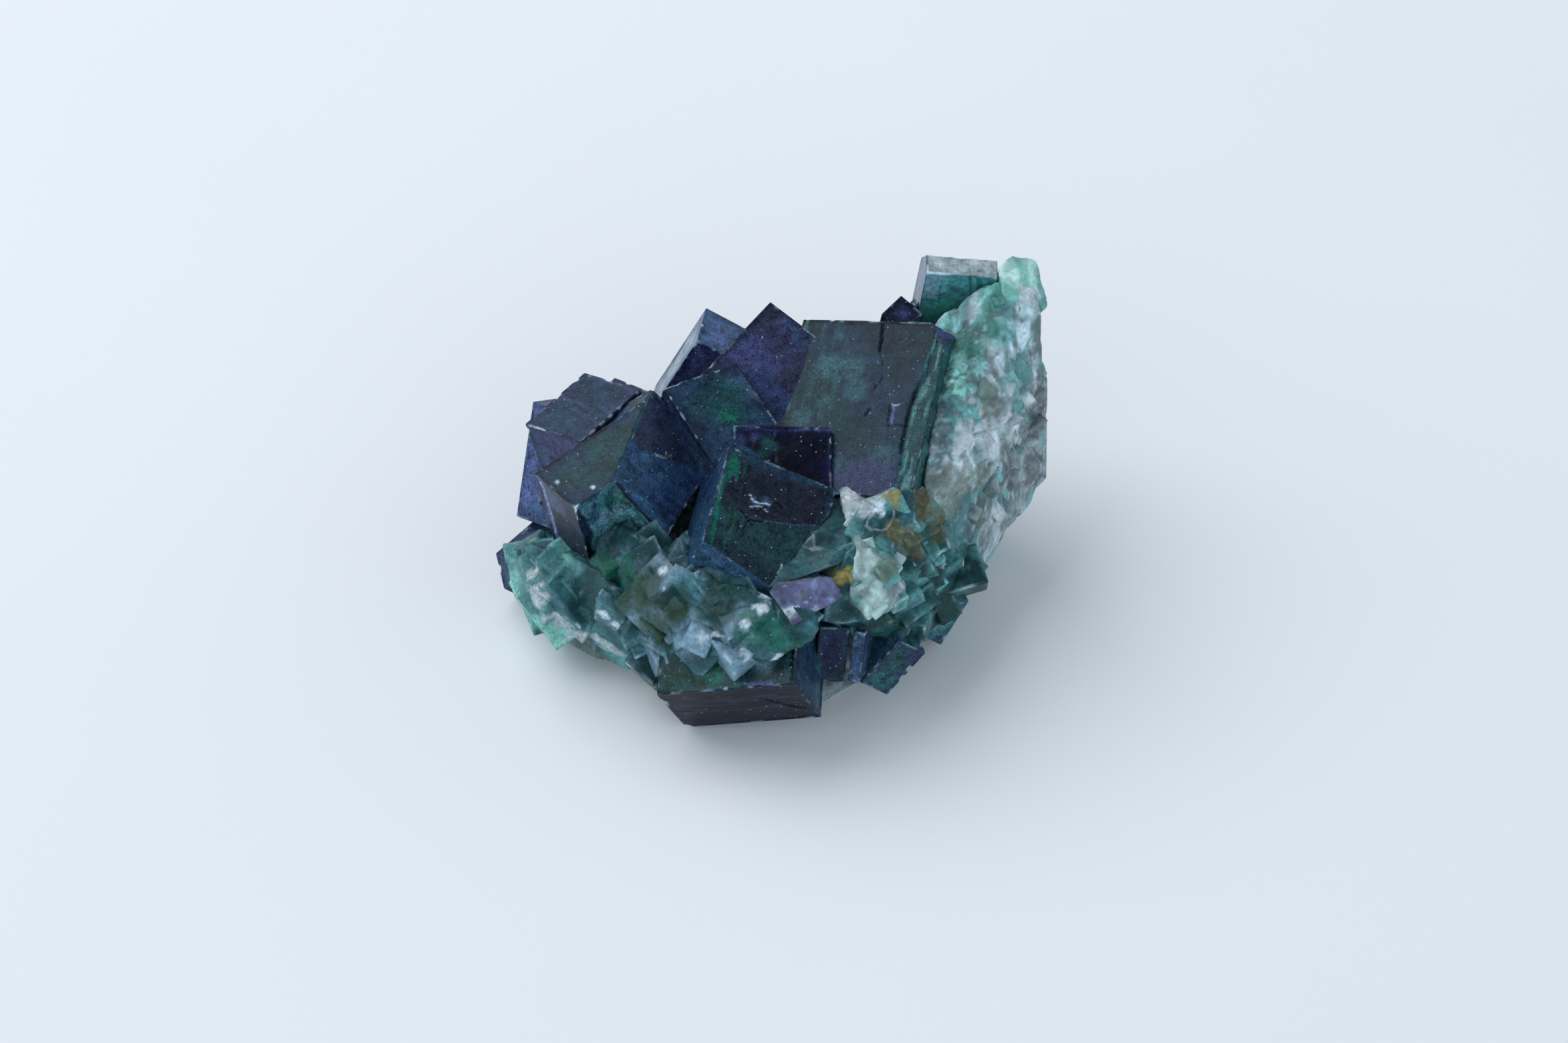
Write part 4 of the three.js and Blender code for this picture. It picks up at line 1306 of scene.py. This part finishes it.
def floor_material(colour):
    """Matt painted board: even and pale, with hardly any shine."""
    made, tree, shader = start_material("Painted board matt")
    if tree is not None:
        place = add_node(tree, "ShaderNodeTexCoord").outputs["Object"]
        cloud = add_node(tree, "ShaderNodeTexNoise", {"Vector": place, "Scale": per_mm(60), "Detail": 4.0})
        value = add_node(
            tree, "ShaderNodeMapRange", {"Value": cloud.outputs["Fac"], "To Min": 0.98, "To Max": 1.02}
        )
        toned = add_node(
            tree, "ShaderNodeHueSaturation", {"Color": (*colour, 1), "Value": value.outputs["Result"]}
        )
        tree.links.new(toned.outputs["Color"], shader.inputs["Base Color"])
        shader.inputs["Roughness"].default_value = 0.7
        shader.inputs["Specular IOR Level"].default_value = 0.2
    return made


# Operators


class GrowFrontCubes(bpy.types.Operator):
    """The four dark cubes at the front"""

    bl_idname = "fluorite.front_cubes"
    bl_label = "Front cubes"

    def execute(self, context):
        grow(FRONT_CUBES, context)
        return {"FINISHED"}


class GrowTopCubes(bpy.types.Operator):
    """The large top cube and the cubes behind it"""

    bl_idname = "fluorite.top_cubes"
    bl_label = "Top cubes"

    def execute(self, context):
        grow(TOP_CUBES, context)
        return {"FINISHED"}


class GrowLeftCubes(bpy.types.Operator):
    """The purple cubes on the left"""

    bl_idname = "fluorite.left_cubes"
    bl_label = "Left cubes"

    def execute(self, context):
        grow(LEFT_CUBES, context)
        return {"FINISHED"}


class GrowLowerCubes(bpy.types.Operator):
    """The lower front cube and the small cubes to its right"""

    bl_idname = "fluorite.lower_cubes"
    bl_label = "Lower cubes"

    def execute(self, context):
        grow(LOWER_CUBES, context)
        return {"FINISHED"}


class GrowSummitCubes(bpy.types.Operator):
    """The block and the two small points at the highest end"""

    bl_idname = "fluorite.summit_cubes"
    bl_label = "Summit cubes"

    def execute(self, context):
        grow(SUMMIT_CUBES, context)
        return {"FINISHED"}


class GrowRearCubes(bpy.types.Operator):
    """The cubes on the back of the specimen"""

    bl_idname = "fluorite.rear_cubes"
    bl_label = "Rear cubes"

    def execute(self, context):
        grow(REAR_CUBES, context)
        return {"FINISHED"}


class SplitGreenMasses(bpy.types.Operator):
    """The broken green fluorite between the cubes"""

    bl_idname = "fluorite.green_masses"
    bl_label = "Green masses"

    def execute(self, context):
        split(GREEN_MASSES, context)
        return {"FINISHED"}


class SplitPaleMasses(bpy.types.Operator):
    """The white chunks, the purple vein and the pale knob"""

    bl_idname = "fluorite.pale_masses"
    bl_label = "White and pale masses"

    def execute(self, context):
        split(PALE_MASSES, context)
        return {"FINISHED"}


class SplitRocks(bpy.types.Operator):
    """The pale flank and the host rock"""

    bl_idname = "fluorite.rocks"
    bl_label = "Rocks"

    def execute(self, context):
        split(ROCKS, context)
        return {"FINISHED"}


class SetStage(bpy.types.Operator):
    """The floor, the soft light and the camera"""

    bl_idname = "fluorite.stage"
    bl_label = "Stage"

    def execute(self, context):
        scene = context.scene
        set_floor(scene)
        set_light(scene)
        set_camera(scene)
        return {"FINISHED"}


FLOOR_REACH = 1.5  # metres from the middle of the floor to its edges
WINDOW_SIZE = (1.1, 1.0)  # metres
WINDOW_PLACE = (-0.5, 0.35, 0.79)  # metres
ROOM_COLOUR = (0.74, 0.87, 1.0, 1)  # daylight from a clear sky
WINDOW_COLOUR = (0.9, 0.94, 1.0)
FRONT_LIFT = (1.6, 0.5)  # how the room's light changes from the front to the back
NEAREST = 0.01  # metres: nothing nearer to the camera shows
DIM_FROM = 0.25  # the height of a direction, from 0 to 1, above which the room's light dims


def set_floor(scene):
    """A flat square at the height that the specimen rests on."""
    mesh = bpy.data.meshes.new("floor")
    reach = FLOOR_REACH
    corners = [(-reach, -reach, 0), (reach, -reach, 0), (reach, reach, 0), (-reach, reach, 0)]
    mesh.from_pydata(corners, [], [(0, 1, 2, 3)])
    mesh.materials.append(floor_material(scene.fluorite_stage.floor))
    floor = bpy.data.objects.new("floor", mesh)
    scene.collection.objects.link(floor)


def set_light(scene):
    """A wide soft window behind the specimen, and pale light from all round that is strongest from
    the front and dims overhead, so that level faces mirror the dark ceiling and stay dark."""
    stage = scene.fluorite_stage
    window = bpy.data.lights.new("window", "AREA")
    window.shape = "RECTANGLE"
    window.size, window.size_y = WINDOW_SIZE
    window.energy = stage.key_power
    window.color = WINDOW_COLOUR
    lamp = bpy.data.objects.new("window", window)
    lamp.location = WINDOW_PLACE
    lamp.rotation_euler = (-Vector(WINDOW_PLACE)).to_track_quat("-Z", "Y").to_euler()
    scene.collection.objects.link(lamp)
    world = bpy.data.worlds.new("soft room")
    world.use_nodes = True
    tree = world.node_tree
    direction = add_node(tree, "ShaderNodeTexCoord").outputs["Object"]
    heading = add_node(tree, "ShaderNodeSeparateXYZ", {"Vector": direction}).outputs
    strength = add_node(
        tree, "ShaderNodeMapRange",
        {"Value": heading["Z"], "From Min": DIM_FROM, "From Max": 1.0, "To Min": stage.horizon,
         "To Max": stage.zenith},
        interpolation_type="SMOOTHSTEP",
    )
    ahead = add_node(
        tree, "ShaderNodeMapRange",
        {"Value": heading["Y"], "From Min": -1.0, "To Min": FRONT_LIFT[0], "To Max": FRONT_LIFT[1]},
    )
    both = add_node(
        tree, "ShaderNodeMath", {0: strength.outputs["Result"], 1: ahead.outputs["Result"]},
        operation="MULTIPLY",
    )
    background = tree.nodes["Background"]
    background.inputs["Color"].default_value = ROOM_COLOUR
    tree.links.new(both.outputs["Value"], background.inputs["Strength"])
    scene.world = world
    scene.view_settings.view_transform = "Standard"


def set_camera(scene):
    """The camera looks at the front, down on the specimen, and aims a little beside its middle."""
    stage = scene.fluorite_stage
    low, high = CAD_BOX
    toward = Vector((0, -math.cos(stage.elevation), math.sin(stage.elevation)))
    up = Vector((0, math.sin(stage.elevation), math.cos(stage.elevation)))
    aim = (low + high) / 2 + Vector((stage.aside, 0, 0)) - stage.below * up
    data = bpy.data.cameras.new("camera")
    data.lens = stage.lens
    camera = bpy.data.objects.new("camera", data)
    camera.location = aim + stage.distance * toward
    camera.rotation_euler = (-toward).to_track_quat("-Z", "Y").to_euler()
    data.clip_start = NEAREST
    scene.collection.objects.link(camera)
    scene.camera = camera


OPERATORS = (
    GrowFrontCubes, GrowTopCubes, GrowLeftCubes, GrowLowerCubes, GrowSummitCubes, GrowRearCubes,
    SplitGreenMasses, SplitPaleMasses, SplitRocks, SetStage,
)


class FluoritePanel(bpy.types.Panel):
    """Lists the operators and the settings in the 3D view's sidebar."""

    bl_idname = "VIEW3D_PT_fluorite"
    bl_label = "Fluorite specimen"
    bl_space_type = "VIEW_3D"
    bl_region_type = "UI"
    bl_category = "Fluorite"

    def draw(self, context):
        layout = self.layout
        for operator in OPERATORS:
            layout.operator(operator.bl_idname)
        for group in ("fluorite_sizes", "fluorite_stage", "fluorite_colours"):
            settings = getattr(context.scene, group)
            box = layout.box()
            for key in settings.bl_rna.properties.keys():
                if key not in ("rna_type", "name"):
                    box.prop(settings, key)


SETTINGS = {
    "fluorite_sizes": FluoriteSizes, "fluorite_stage": FluoriteStage, "fluorite_colours": FluoriteColours,
}


def register():
    for group in (*SETTINGS.values(), *OPERATORS, FluoritePanel):
        bpy.utils.register_class(group)
    for name, group in SETTINGS.items():
        setattr(bpy.types.Scene, name, PointerProperty(type=group))


def unregister():
    for name in SETTINGS:
        delattr(bpy.types.Scene, name)
    for group in (FluoritePanel, *reversed(OPERATORS), *SETTINGS.values()):
        bpy.utils.unregister_class(group)


def main():
    register()
    for operator in OPERATORS:
        family, name = operator.bl_idname.split(".")
        getattr(getattr(bpy.ops, family), name)()
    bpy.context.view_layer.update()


if __name__ == "__main__":
    main()
